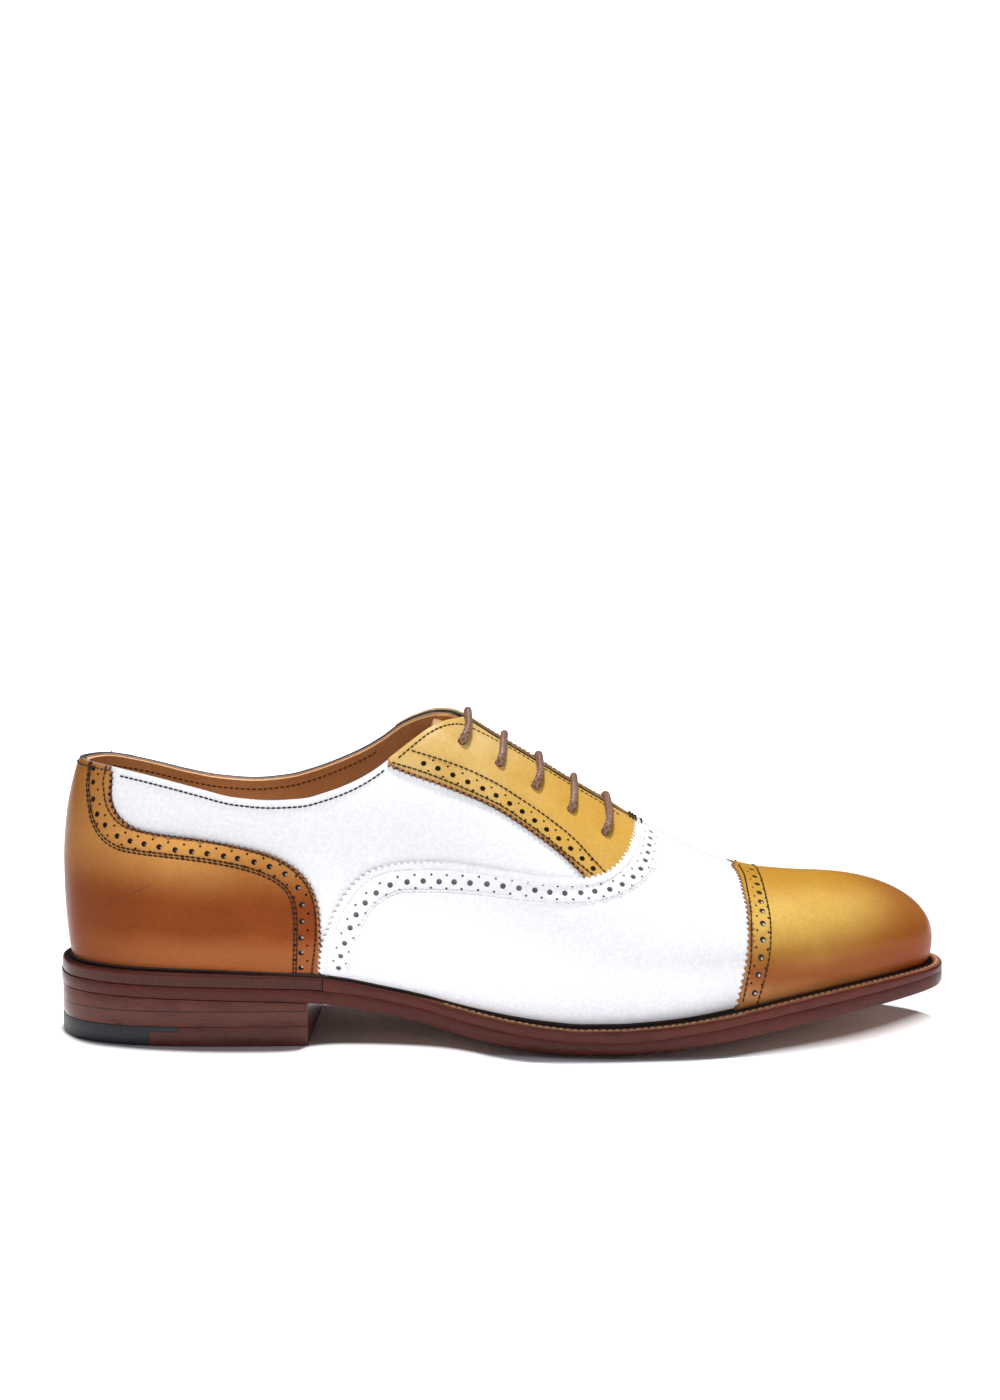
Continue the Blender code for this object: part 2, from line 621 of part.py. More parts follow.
def build_lace_bars(mat):
    r = LACE_DIAMETER / 2
    for k, (x, reach) in enumerate(EYELET_ROWS):
        ends = [reach - 1.9, reach * 0.62, reach * 0.3, 0.0, -reach * 0.3, -reach * 0.62, -reach + 1.9]
        pts = []
        for o in ends:
            p = surface_point(x, o)
            a, b = surface_point(x, o - 1.0), surface_point(x, o + 1.0)
            n = Vector((0, -(b.z - a.z), b.y - a.y)).normalized()
            lift = r + 0.55 + (0.5 if abs(o) < reach * 0.7 else 0.25)
            pts.append(p + n * lift)
        bm = bmesh.new()
        rows = []
        for i, p in enumerate(pts):
            a, b = pts[max(i - 1, 0)], pts[min(i + 1, len(pts) - 1)]
            d = (b - a).normalized()
            u = Vector((1, 0, 0))
            w = d.cross(u).normalized()
            rows.append([bm.verts.new(metres(p + (u * math.cos(q) + w * math.sin(q)) * r))
                         for q in (2 * math.pi * j / 8 for j in range(8))])
        grid_faces(bm, rows, close=True)
        bm.faces.new(rows[0][::-1])
        bm.faces.new(rows[-1])
        make("lace_bar_%d" % (k + 1), bm, mat, weld=0.000001, smooth=50.0)


def main():
    for ob in list(bpy.data.objects):
        bpy.data.objects.remove(ob, do_unlink=True)
    bpy.context.scene.unit_settings.system = "METRIC"

    lat = [EDGE.at(-1, k / 8)[0] for k in range(EDGE.half * 8 + 1)]
    med = [EDGE.at(1, k / 8)[0] for k in range(EDGE.half * 8 + 1)]
    xs = [p[0] for p in lat + med]
    ys = [p[1] for p in lat + med]
    SHIFT[0] = 0.5 * (min(xs) + max(xs))
    SHIFT[1] = 0.5 * (min(ys) + max(ys))

    white = material("white_leather", (0.86, 0.87, 0.89), 0.38, coat=0.1)
    tan = material("tan_leather", (0.58, 0.3, 0.06), 0.3, coat=0.3)
    counter = material("burnished_leather", (0.4, 0.15, 0.04), 0.28, coat=0.3)
    lining = material("tongue_leather", (0.62, 0.4, 0.2), 0.55)
    sock = material("sock_leather", (0.42, 0.2, 0.08), 0.5)
    welt = material("welt_leather", (0.32, 0.13, 0.06), 0.42)
    edge = material("sole_leather", (0.17, 0.06, 0.04), 0.32, coat=0.2)
    rubber = material("heel_rubber", (0.03, 0.03, 0.035), 0.6)
    cord = material("waxed_cord", (0.2, 0.11, 0.07), 0.5)

    upper = build_upper(white)
    for cut in eyelet_cutters():
        mod = upper.modifiers.new("hole_" + cut.name, "BOOLEAN")
        mod.operation = "DIFFERENCE"
        mod.solver = "EXACT"
        mod.object = cut
    build_toe_cap(tan)
    build_counter(counter)
    build_tongue(lining)
    build_insole(sock)
    build_welt(welt)
    build_rand(edge)
    build_outsole(edge)
    build_heel(edge, edge, rubber)
    build_lace_bars(cord)


main()
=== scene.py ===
import math

import bmesh
import bpy
import numpy as np
from mathutils import Matrix, Vector
from mathutils.bvhtree import BVHTree
from mathutils.geometry import delaunay_2d_cdt
from mathutils.kdtree import KDTree


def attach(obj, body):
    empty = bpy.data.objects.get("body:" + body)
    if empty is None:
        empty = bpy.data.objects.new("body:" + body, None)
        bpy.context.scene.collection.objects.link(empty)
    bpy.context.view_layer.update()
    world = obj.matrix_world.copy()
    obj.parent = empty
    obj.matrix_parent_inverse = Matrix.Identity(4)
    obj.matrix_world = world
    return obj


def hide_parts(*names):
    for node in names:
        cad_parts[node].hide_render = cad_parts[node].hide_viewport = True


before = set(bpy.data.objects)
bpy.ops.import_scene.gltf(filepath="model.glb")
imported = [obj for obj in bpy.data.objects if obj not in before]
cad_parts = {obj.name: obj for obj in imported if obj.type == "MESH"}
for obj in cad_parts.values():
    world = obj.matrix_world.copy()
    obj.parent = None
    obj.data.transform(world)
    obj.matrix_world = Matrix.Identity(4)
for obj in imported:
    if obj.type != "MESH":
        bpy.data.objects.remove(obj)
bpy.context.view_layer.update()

# ---------------------------------------------------------------- dimensions
HEEL_CENTRE_X = 32.0        # axis that the ribs of the heel fan about
TOE_CENTRE = (262.0, 4.5)   # top of the toe, where the ribs of the toe meet
TIP = (306.3, 3.5)          # foremost point of the sole edge
WALL = 2.2                  # upper with its lining
GAP = 0.3                   # between pieces that meet
FEATHER_GAP = 0.55          # upper above the welt along its slope
CAP_SEAM_X = 234.0          # back edge of the toe cap
OVERLAY = 1.2               # thickness of toe cap and heel counter
HEEL_BREAST_X = 88.0        # front face of the heel
TOP_LIFT = 6.6              # top lift and rubber tip
TIP_FRONT_X = 35.0          # where the rubber tip meets the leather top lift
RAND_FRONT_X = 93.0         # where the heel rand meets the welt
RING_WIDTH_IN = 2.6         # welt reaches this far inside the feather line
INSOLE_TOP = 2.4            # insole above the welt
TREAD_SPOT = (179.0, 190.0) # forepart of the sole that lies on the floor
THROAT_X = 200.0            # foot of the lacing gap
LACE_DIAMETER = 2.4
LOWER_PART = 0.28           # share of a rib below its widest point

SOLE_COLUMNS = ("x", "lateral", "medial")
SOLE_ROWS = (
    (1.6, -9.0, 9.0), (6.0, -17.5, 17.5), (14.0, -24.0, 24.0),
    (26.0, -28.8, 28.6), (40.0, -31.0, 30.8), (56.0, -31.6, 31.2),
    (72.0, -31.3, 30.4), (88.0, -30.6, 28.8), (100.0, -30.3, 27.2),
    (112.0, -31.4, 26.2), (125.0, -34.2, 26.4), (138.0, -37.8, 28.4),
    (152.0, -41.4, 32.4), (168.0, -44.8, 38.4), (184.0, -46.5, 44.0),
    (200.0, -46.3, 47.8), (216.0, -44.6, 49.2), (232.0, -41.4, 48.2),
    (250.0, -36.2, 45.0), (268.0, -29.6, 39.4), (283.0, -22.8, 33.2),
    (295.0, -15.8, 25.8), (302.6, -9.0, 17.2),
)
LEVEL_COLUMNS = ("x", "tread", "outsole", "edge")
LEVEL_ROWS = (  # underside of the outsole, its thickness, outsole plus welt
    (0.0, 17.0, 4.2, 9.0), (55.0, 15.6, 4.3, 9.1), (88.0, 14.4, 4.5, 9.0),
    (100.0, 13.1, 4.7, 8.8), (112.0, 11.4, 4.8, 8.3), (125.0, 9.1, 4.8, 8.2),
    (138.0, 5.9, 4.9, 8.4), (152.0, 3.0, 5.0, 8.5), (163.0, 1.35, 5.0, 8.6),
    (171.0, 0.5, 5.0, 8.7), (178.0, 0.0, 5.0, 8.8), (191.0, 0.0, 5.0, 9.0),
    (198.0, 0.5, 5.0, 8.9), (206.0, 1.4, 5.0, 8.6), (214.0, 2.4, 5.0, 8.4),
    (223.0, 3.7, 5.0, 8.3), (232.0, 5.15, 5.0, 8.3), (250.0, 8.0, 5.0, 8.4),
    (268.0, 10.6, 4.9, 8.3), (287.0, 13.2, 4.8, 7.8), (306.3, 15.8, 4.6, 6.8),
)
GIRTH_COLUMNS = ("x", "feather", "bulge_lateral", "bulge_medial",
                 "height_lateral", "height_medial")
GIRTH_ROWS = (  # insets from the sole edge, and height of the widest point
    (0.0, 4.6, 2.7, 2.7, 58.0, 58.0), (30.0, 4.3, 0.6, 0.6, 56.0, 56.0),
    (56.0, 4.0, -0.8, -1.0, 53.0, 54.0), (88.0, 2.9, -3.5, -4.0, 48.0, 52.0),
    (112.0, 3.2, -4.3, -6.4, 43.0, 50.0), (125.0, 3.8, -3.2, -7.0, 40.0, 48.0),
    (138.0, 4.6, -1.4, -6.4, 37.0, 45.0), (152.0, 5.5, 0.9, -4.2, 33.5, 41.0),
    (168.0, 6.3, 2.9, -1.0, 30.0, 36.0), (184.0, 6.8, 3.9, 1.8, 27.5, 32.0),
    (200.0, 7.0, 4.3, 3.4, 26.0, 29.0), (217.0, 7.1, 4.6, 4.2, 26.0, 27.5),
    (232.0, 7.2, 5.3, 5.2, 26.5, 27.0), (250.0, 7.2, 5.5, 5.5, 27.5, 27.5),
    (268.0, 7.0, 5.4, 5.4, 28.5, 28.5), (287.0, 6.7, 5.3, 5.3, 30.0, 30.0),
    (306.3, 6.5, 5.3, 5.3, 31.0, 31.0),
)
RIDGE_COLUMNS = ("x", "y", "z", "full_lateral", "full_medial")
RIDGE_ROWS = (  # top line of the last, carried on over the open collar
    (0.0, 0.0, 119.0, 2.0, 2.0), (32.0, 0.0, 112.5, 2.0, 2.0),
    (50.0, 0.2, 108.5, 2.0, 2.0), (76.0, 0.6, 106.3, 2.0, 2.0),
    (94.0, 0.9, 107.5, 2.0, 2.0), (110.0, 1.2, 110.3, 2.0, 2.0),
    (120.0, 1.4, 111.8, 2.0, 2.0), (129.0, 1.6, 111.8, 1.98, 2.0),
    (137.0, 1.9, 108.7, 1.95, 2.0), (143.0, 2.1, 105.0, 1.92, 2.0),
    (152.0, 2.5, 99.2, 1.87, 2.0), (165.0, 3.2, 91.3, 1.8, 1.98),
    (173.0, 3.6, 86.2, 1.77, 1.96), (186.0, 4.2, 78.6, 1.75, 1.94),
    (200.0, 4.8, 70.2, 1.77, 1.94), (209.0, 5.1, 65.2, 1.8, 1.95),
    (218.0, 5.3, 60.8, 1.85, 1.97), (232.0, 5.3, 54.9, 1.92, 2.0),
    (244.0, 5.0, 52.2, 1.98, 2.02), (262.0, 4.5, 51.2, 2.05, 2.05),
    (310.0, 4.5, 51.2, 2.08, 2.08),
)
TOPLINE_COLUMNS = ("x", "lateral", "medial")
TOPLINE_ROWS = (
    (6.0, 94.3, 94.2), (13.0, 93.9, 93.8), (20.0, 93.1, 92.2),
    (30.0, 91.3, 89.4), (40.0, 89.0, 86.6), (52.0, 86.0, 84.2),
    (64.0, 83.2, 83.3), (76.0, 82.3, 84.4), (86.0, 82.8, 87.2),
    (95.0, 85.0, 90.7), (104.0, 88.5, 95.0), (111.0, 92.5, 99.4),
    (117.0, 97.0, 104.0), (123.0, 101.4, 107.0), (129.0, 105.2, 108.9),
    (134.0, 107.0, 109.2), (140.0, 107.4, 108.6), (150.0, 107.4, 108.6),
)
COUNTER_COLUMNS = ("x", "z")
COUNTER_ROWS = (  # upper edge of the heel counter on either side
    (0.0, 93.2), (13.0, 92.4), (16.5, 90.0), (19.5, 85.0), (22.5, 79.0),
    (26.0, 74.8), (31.0, 72.3), (40.0, 70.6), (53.0, 68.0), (70.0, 65.0), (80.0, 62.2),
    (85.0, 59.4), (88.0, 56.0), (91.0, 50.0), (94.0, 40.0), (95.0, 36.0),
)
EYELET_COLUMNS = ("x", "from_ridge")
EYELET_ROWS = (
    (139.6, 15.0), (152.2, 15.3), (164.8, 15.7), (177.2, 16.2), (189.2, 17.0),
)
EYELET_RADIUS = 1.5


# ------------------------------------------------------------ small numerics
def column(rows, names, name):
    k = names.index(name)
    return [row[0] for row in rows], [row[k] for row in rows]


class Smooth:
    """Monotone cubic through a table's column, held level past its ends."""

    def __init__(self, xs, ys):
        self.x, self.y = list(xs), list(ys)
        n = len(xs)
        h = [xs[i + 1] - xs[i] for i in range(n - 1)]
        d = [(ys[i + 1] - ys[i]) / h[i] for i in range(n - 1)]
        m = [d[0]] + [0.0] * (n - 2) + [d[-1]]
        for i in range(1, n - 1):
            if d[i - 1] * d[i] > 0.0:
                w1, w2 = 2 * h[i] + h[i - 1], h[i] + 2 * h[i - 1]
                m[i] = (w1 + w2) / (w1 / d[i - 1] + w2 / d[i])
        self.m = m

    def __call__(self, x):
        xs = self.x
        if x <= xs[0]:
            return self.y[0]
        if x >= xs[-1]:
            return self.y[-1]
        lo, hi = 0, len(xs) - 1
        while hi - lo > 1:
            mid = (lo + hi) // 2
            if xs[mid] <= x:
                lo = mid
            else:
                hi = mid
        h = xs[hi] - xs[lo]
        t = (x - xs[lo]) / h
        a, b = self.y[lo], self.y[hi]
        return ((2 * t ** 3 - 3 * t * t + 1) * a + (t ** 3 - 2 * t * t + t) * h * self.m[lo]
                + (3 * t * t - 2 * t ** 3) * b + (t ** 3 - t * t) * h * self.m[hi])


class Loop:
    """Closed cubic spline through the sole edge: back of heel, lateral side,
    tip, medial side. Its parameter counts table rows."""

    def __init__(self, rows, tip):
        pts = [(0.0, 0.0)] + [(r[0], r[1]) for r in rows] + [tip]
        pts += [(r[0], r[2]) for r in reversed(rows)]
        self.half = len(rows) + 1
        self.n = len(pts)
        p = np.array(pts, dtype=float)
        q = np.roll(p, -1, axis=0)
        self.h = np.sqrt(((q - p) ** 2).sum(axis=1))
        n, h = self.n, self.h
        a = np.zeros((n, n))
        b = np.zeros((n, 2))
        for i in range(n):
            j, k = (i - 1) % n, (i + 1) % n
            a[i, j] += h[j]
            a[i, i] += 2 * (h[j] + h[i])
            a[i, k] += h[i]
            b[i] = 6 * ((p[k] - p[i]) / h[i] - (p[i] - p[j]) / h[j])
        self.p, self.m = p, np.linalg.solve(a, b)

    def at(self, side, t):
        """Point and inward normal at row count t from the heel on a side."""
        u = t if side < 0 else self.n - t
        u = u % self.n
        i = min(int(u), self.n - 1)
        k = (i + 1) % self.n
        h = self.h[i]
        f = u - i
        a, b = (1 - f) * h, f * h
        p0, p1, m0, m1 = self.p[i], self.p[k], self.m[i], self.m[k]
        c0, c1 = p0 / h - m0 * h / 6, p1 / h - m1 * h / 6
        pos = m0 * a ** 3 / (6 * h) + m1 * b ** 3 / (6 * h) + c0 * a + c1 * b
        tan = -m0 * a * a / (2 * h) + m1 * b * b / (2 * h) - c0 + c1
        l = math.hypot(tan[0], tan[1])
        return (pos[0], pos[1]), (-tan[1] / l, tan[0] / l)


EDGE = Loop(SOLE_ROWS, TIP)
TREAD = Smooth(*column(LEVEL_ROWS, LEVEL_COLUMNS, "tread"))
OUTSOLE = Smooth(*column(LEVEL_ROWS, LEVEL_COLUMNS, "outsole"))
EDGE_HEIGHT = Smooth(*column(LEVEL_ROWS, LEVEL_COLUMNS, "edge"))
FEATHER = Smooth(*column(GIRTH_ROWS, GIRTH_COLUMNS, "feather"))
BULGE = {-1: Smooth(*column(GIRTH_ROWS, GIRTH_COLUMNS, "bulge_lateral")),
         1: Smooth(*column(GIRTH_ROWS, GIRTH_COLUMNS, "bulge_medial"))}
BULGE_Z = {-1: Smooth(*column(GIRTH_ROWS, GIRTH_COLUMNS, "height_lateral")),
           1: Smooth(*column(GIRTH_ROWS, GIRTH_COLUMNS, "height_medial"))}
RIDGE_Y = Smooth(*column(RIDGE_ROWS, RIDGE_COLUMNS, "y"))
RIDGE_Z = Smooth(*column(RIDGE_ROWS, RIDGE_COLUMNS, "z"))
FULL = {-1: Smooth(*column(RIDGE_ROWS, RIDGE_COLUMNS, "full_lateral")),
        1: Smooth(*column(RIDGE_ROWS, RIDGE_COLUMNS, "full_medial"))}
TOPLINE = {-1: Smooth(*column(TOPLINE_ROWS, TOPLINE_COLUMNS, "lateral")),
           1: Smooth(*column(TOPLINE_ROWS, TOPLINE_COLUMNS, "medial"))}
COUNTER_Z = Smooth(*column(COUNTER_ROWS, COUNTER_COLUMNS, "z"))


def welt_top(x):
    return TREAD(x) + EDGE_HEIGHT(x)


def inset(side, t, by):
    (x, y), (nx, ny) = EDGE.at(side, t)
    d = by(x) if callable(by) else by
    return x + nx * d, y + ny * d, x


# ------------------------------------------------------------ the last's ribs
def fan(side, t):
    """Station of a rib: 0 to 1 round the heel, 1 to 2 along x, 2 to 3 round
    the toe, from where its widest point lies."""
    gx, gy, _ = inset(side, t, BULGE[side])
    if gx < HEEL_CENTRE_X:
        return math.atan2(abs(gy), HEEL_CENTRE_X - gx) / (math.pi / 2)
    if gx <= TOE_CENTRE[0]:
        return 1.0 + (gx - HEEL_CENTRE_X) / (TOE_CENTRE[0] - HEEL_CENTRE_X)
    dy = side * (gy - TOE_CENTRE[1])
    return 3.0 - math.atan2(dy, gx - TOE_CENTRE[0]) / (math.pi / 2)


def station_of_x(x):
    return 1.0 + (x - HEEL_CENTRE_X) / (TOE_CENTRE[0] - HEEL_CENTRE_X)


class Rib:
    """One section of the last, from the feather line up to the ridge."""

    def __init__(self, side, station):
        lo, hi = -0.6, EDGE.half + 1.2
        for _ in range(34):
            mid = 0.5 * (lo + hi)
            t = fan(side, mid) if 0 <= mid <= EDGE.half - 1 else None
            if t is None:
                t = fan_open(side, mid)
            if t < station:
                lo = mid
            else:
                hi = mid
        t = 0.5 * (lo + hi)
        self.side, self.station, self.t = side, station, t
        fx, fy, ex = inset(side, t, FEATHER)
        gx, gy, _ = inset(side, t, BULGE[side])
        px = min(max(gx, HEEL_CENTRE_X), TOE_CENTRE[0])
        self.f = (fx, fy, welt_top(ex) + FEATHER_GAP)
        self.g = (gx, gy, BULGE_Z[side](ex))
        rz = RIDGE_Z(px if gx > HEEL_CENTRE_X else gx)
        self.p = (px, RIDGE_Y(px) if gx <= TOE_CENTRE[0] else TOE_CENTRE[1], rz)
        self.n = FULL[side](gx)

    def at(self, s):
        f, g, p = self.f, self.g, self.p
        if s < LOWER_PART:
            q = s / LOWER_PART
            k = 1.0 - (1.0 - q) ** 2.2
            return Vector((f[0] + (g[0] - f[0]) * k, f[1] + (g[1] - f[1]) * k,
                           f[2] + (g[2] - f[2]) * q))
        a = (s - LOWER_PART) / (1.0 - LOWER_PART) * math.pi / 2
        r = max(math.cos(a), 0.0) ** (2.0 / self.n)
        h = max(math.sin(a), 0.0) ** (2.0 / self.n)
        return Vector((p[0] + (g[0] - p[0]) * r, p[1] + (g[1] - p[1]) * r,
                       g[2] + (p[2] - g[2]) * h))

    def solve(self, low, test):
        """Share of the rib at which test turns true."""
        lo, hi = low, 1.0
        if not test(self.at(1.0)):
            return 1.0
        for _ in range(30):
            mid = 0.5 * (lo + hi)
            if test(self.at(mid)):
                hi = mid
            else:
                lo = mid
        return 0.5 * (lo + hi)

    def top(self):
        """Share at the topline, or at the edge of the lacing gap."""
        if self.station > station_of_x(THROAT_X) - 1e-6:
            return 1.0
        side, py = self.side, self.p[1]
        line = TOPLINE[side]
        over = self.solve(0.3, lambda v: v.z > line(v.x))
        if self.p[0] > 118.0:
            half = lacing_gap(self.p[0])
            over = min(over, self.solve(0.3, lambda v: abs(v.y - py) < half))
        return over

    def down_to(self, z):
        return self.solve(0.0, lambda v: v.z > z)


def fan_open(side, t):
    """Station just past the heel's or the toe's middle line."""
    gx, gy, _ = inset(side, t, BULGE[side])
    if t < EDGE.half / 2:
        return math.atan2(side * gy, HEEL_CENTRE_X - gx) / (math.pi / 2)
    return 3.0 - math.atan2(side * (gy - TOE_CENTRE[1]), gx - TOE_CENTRE[0]) / (math.pi / 2)


def lacing_gap(x):
    """Half the gap between the facings, closing at its foot."""
    return 2.4 - 0.9 * (x - 140.0) / 60.0


def stations(heel, middle, toe, extra=()):
    out = [i / heel for i in range(heel)]
    out += [1.0 + i / middle for i in range(middle)]
    out += [2.0 + i / toe for i in range(toe + 1)]
    out += [station_of_x(x) for x in extra]
    out = sorted(out)
    kept = [out[0]]
    for v in out[1:]:
        if v - kept[-1] > 0.008 or v in (3.0,) or v in [station_of_x(x) for x in extra]:
            if v - kept[-1] <= 0.008 and kept[-1] != 0.0:
                kept.pop()
            kept.append(v)
    return kept




# ------------------------------------------------------------------- frame
def outline_middle():
    pts = [EDGE.at(s, k / 8)[0] for s in (-1, 1) for k in range(EDGE.half * 8 + 1)]
    xs, ys = [p[0] for p in pts], [p[1] for p in pts]
    return np.array([0.5 * (min(xs) + max(xs)), 0.5 * (min(ys) + max(ys)), 0.0])


MIDDLE = outline_middle()


def metres(points):
    return (np.asarray(points, float) - MIDDLE) * 0.001


# ------------------------------------------------------------------ camera
CAM_FROM = (152.1, -650.0, 169.0)     # mm, shoe's sizes
CAM_DOWN = math.radians(4.9)
CAM_FOCUS = 1894.0                    # in pixels of a 1000 x 1400 picture


def view_ray(px, py):
    f = Vector((0.0, math.cos(CAM_DOWN), -math.sin(CAM_DOWN)))
    u = Vector((0.0, math.sin(CAM_DOWN), math.cos(CAM_DOWN)))
    return (f + Vector((1, 0, 0)) * ((px - 500.0) / CAM_FOCUS) - u * ((py - 700.0) / CAM_FOCUS)).normalized()


# --------------------------------------------- the last as one dense chart
# The chart's first number runs round the shoe from the nose over the outer
# side (negative), the back of the heel (0) and the inner side; the second
# runs up each rib from the feather line (0) to the ridge (RIB).
HEEL_RUN, SIDE_RUN, TOE_RUN = 50, 230, 62
HALF = HEEL_RUN + SIDE_RUN + TOE_RUN
RIB = 110


def station_at(c):
    c = abs(c)
    if c <= HEEL_RUN:
        return c / HEEL_RUN
    if c <= HEEL_RUN + SIDE_RUN:
        return 1.0 + (c - HEEL_RUN) / SIDE_RUN
    return 2.0 + (c - HEEL_RUN - SIDE_RUN) / TOE_RUN


def chart_of_x(x):
    return HEEL_RUN + (x - HEEL_CENTRE_X) / (TOE_CENTRE[0] - HEEL_CENTRE_X) * SIDE_RUN


def dense_table():
    p = np.zeros((2 * HALF + 1, RIB + 1, 3))
    top = np.zeros(2 * HALF + 1)
    for i in range(HALF + 1):
        for side in (-1, 1):
            rib = Rib(side, station_at(i))
            k = HALF + side * i
            p[k] = [tuple(rib.at(j / RIB)) for j in range(RIB + 1)]
            top[k] = rib.top() * RIB
    return p, top


def table_normals(p):
    dc = np.zeros_like(p)
    dc[1:-1] = p[2:] - p[:-2]
    dc[0] = p[1] - p[-2]
    dc[-1] = dc[0]
    dr = np.gradient(p, axis=1)
    n = np.cross(dc, dr)
    length = np.linalg.norm(n, axis=2, keepdims=True)
    n = n / np.maximum(length, 1e-9)
    middle = np.array([150.0, 3.0, 40.0])
    if ((n * (p - middle)).sum(axis=2)).mean() < 0:
        n = -n
    ridge = 0.5 * (n[:, RIB - 1] + n[::-1, RIB - 1])
    n[:, RIB] = ridge / np.linalg.norm(ridge, axis=1, keepdims=True)
    a, b = HALF - HEEL_RUN - SIDE_RUN, HALF + HEEL_RUN + SIDE_RUN
    n[:a, RIB] = (0.0, 0.0, 1.0)
    n[b:, RIB] = (0.0, 0.0, 1.0)
    return n


P, TOP = dense_table()
N = table_normals(P)

CREASE_COLUMNS = ("x", "z", "along_x", "along_z", "length", "width", "depth", "side")
CREASE_ROWS = (  # soft troughs and ridges of the leather, on either side
    (98.0, 74.0, 0.75, -0.66, 26.0, 5.0, -0.35, 0), (107.0, 68.0, 0.8, -0.6, 30.0, 6.0, 0.3, 0),
    (118.0, 60.0, 0.9, -0.42, 34.0, 6.5, -0.25, 0), (60.0, 34.0, 1.0, 0.05, 30.0, 4.0, -0.3, 0),
    (72.0, 40.0, 0.95, 0.3, 24.0, 4.5, 0.2, 0), (206.0, 50.0, 0.25, 0.97, 26.0, 5.0, -0.35, 0),
    (214.0, 48.0, 0.2, 0.98, 26.0, 5.5, 0.25, 0), (221.0, 44.0, 0.15, 0.99, 24.0, 5.0, -0.3, 0),
    (20.0, 45.0, 0.2, 0.98, 22.0, 6.0, 0.2, 0),
)


def lacing_lift(p):
    """The inner facing's edge stands a little above the outer one's."""
    for k in range(2 * HALF + 1):
        x = p[k, RIB, 0]
        a = min(max((x - 133.0) / 9.0, 0.0), 1.0)
        b = min(max((202.0 - x) / 12.0, 0.0), 1.0)
        w = a * a * (3 - 2 * a) * b * b * (3 - 2 * b)
        r = np.clip((np.arange(RIB + 1) - 70.0) / 32.0, 0.0, 1.0)
        p[k, :, 2] += w * r * r * (3 - 2 * r) * (0.55 if k > HALF else -0.4)
    return p


def creased(p, n):
    d = np.zeros(p.shape[:2])
    for x, z, ax, az, length, width, depth, side in CREASE_ROWS:
        u = (p[..., 0] - x) * ax + (p[..., 2] - z) * az
        v = -(p[..., 0] - x) * az + (p[..., 2] - z) * ax
        d += depth * np.exp(-(u / (0.5 * length)) ** 2 - (v / (0.5 * width)) ** 2)
    d[:, RIB] = 0.0
    return p + n * d[..., None]


P = lacing_lift(creased(P, N))
N = table_normals(P)


def wrap(c):
    return (np.asarray(c, float) + HALF) % (2 * HALF)


def sample(table, cr):
    cr = np.asarray(cr, float).reshape(-1, 2)
    c, r = wrap(cr[:, 0]), np.clip(cr[:, 1], 0.0, RIB)
    i, j = np.minimum(c.astype(int), 2 * HALF - 1), np.minimum(r.astype(int), RIB - 1)
    fc, fr = (c - i)[:, None], (r - j)[:, None]
    return ((table[i, j] * (1 - fc) + table[i + 1, j] * fc) * (1 - fr)
            + (table[i, j + 1] * (1 - fc) + table[i + 1, j + 1] * fc) * fr)


def place(cr, off=0.0):
    """Points over the last at a height above its outside, in mm."""
    n = sample(N, cr)
    n /= np.maximum(np.linalg.norm(n, axis=1, keepdims=True), 1e-9)
    off = np.asarray(off, float).reshape(-1, 1) if np.ndim(off) else off
    return sample(P, cr) + n * off


def top_at(c):
    """Height on the chart of the topline or the lacing edge."""
    c = wrap(c)
    i = np.minimum(c.astype(int), 2 * HALF - 1)
    return TOP[i] * (1 - (c - i)) + TOP[i + 1] * (c - i)


def other_side(cr):
    """The same pattern on the inner side, whose topline lies differently."""
    cr = np.asarray(cr, float).reshape(-1, 2)
    a, b = top_at(cr[:, 0]), top_at(-cr[:, 0])
    near = sum(top_at(-cr[:, 0] - k) - top_at(cr[:, 0] + k) for k in range(-18, 19, 3)) / 13.0
    w = np.clip((cr[:, 1] - 34.0) / np.maximum(a - 34.0, 1.0), 0.0, 1.0)
    at_top = w ** 14
    return np.stack([-cr[:, 0], cr[:, 1] + ((b - a) * at_top + near * (1.0 - at_top)) * w * w], axis=1)


def jacobian(cr):
    cr = np.asarray(cr, float).reshape(-1, 2)
    h = 0.6
    r = np.clip(cr[:, 1], h, RIB - h)
    q = np.stack([cr[:, 0], r], axis=1)
    jc = (sample(P, q + [h, 0]) - sample(P, q - [h, 0])) / (2 * h)
    jr = (sample(P, q + [0, h]) - sample(P, q - [0, h])) / (2 * h)
    return jc, jr


def shift_chart(cr, vec):
    """Chart points moved by small vectors that lie along the surface."""
    jc, jr = jacobian(cr)
    a, b, c = (jc * jc).sum(1), (jc * jr).sum(1), (jr * jr).sum(1)
    u, v = (jc * vec).sum(1), (jr * vec).sum(1)
    det = np.maximum(a * c - b * b, 1e-6)
    return np.asarray(cr, float) + np.stack([(c * u - b * v) / det, (a * v - b * u) / det], axis=1)


LOOKED_AT = P + N * 1.1         # where the overlays' faces lie


def chart_tree():
    """The outer side, for finding where a line of sight meets it."""
    cols = HALF + 1
    verts = [Vector(v) for v in LOOKED_AT[:cols].reshape(-1, 3)]
    polys = []
    for i in range(cols - 1):
        for j in range(RIB):
            a = i * (RIB + 1) + j
            polys.append((a, a + RIB + 1, a + RIB + 2, a + 1))
    return BVHTree.FromPolygons(verts, polys)


TREE = chart_tree()


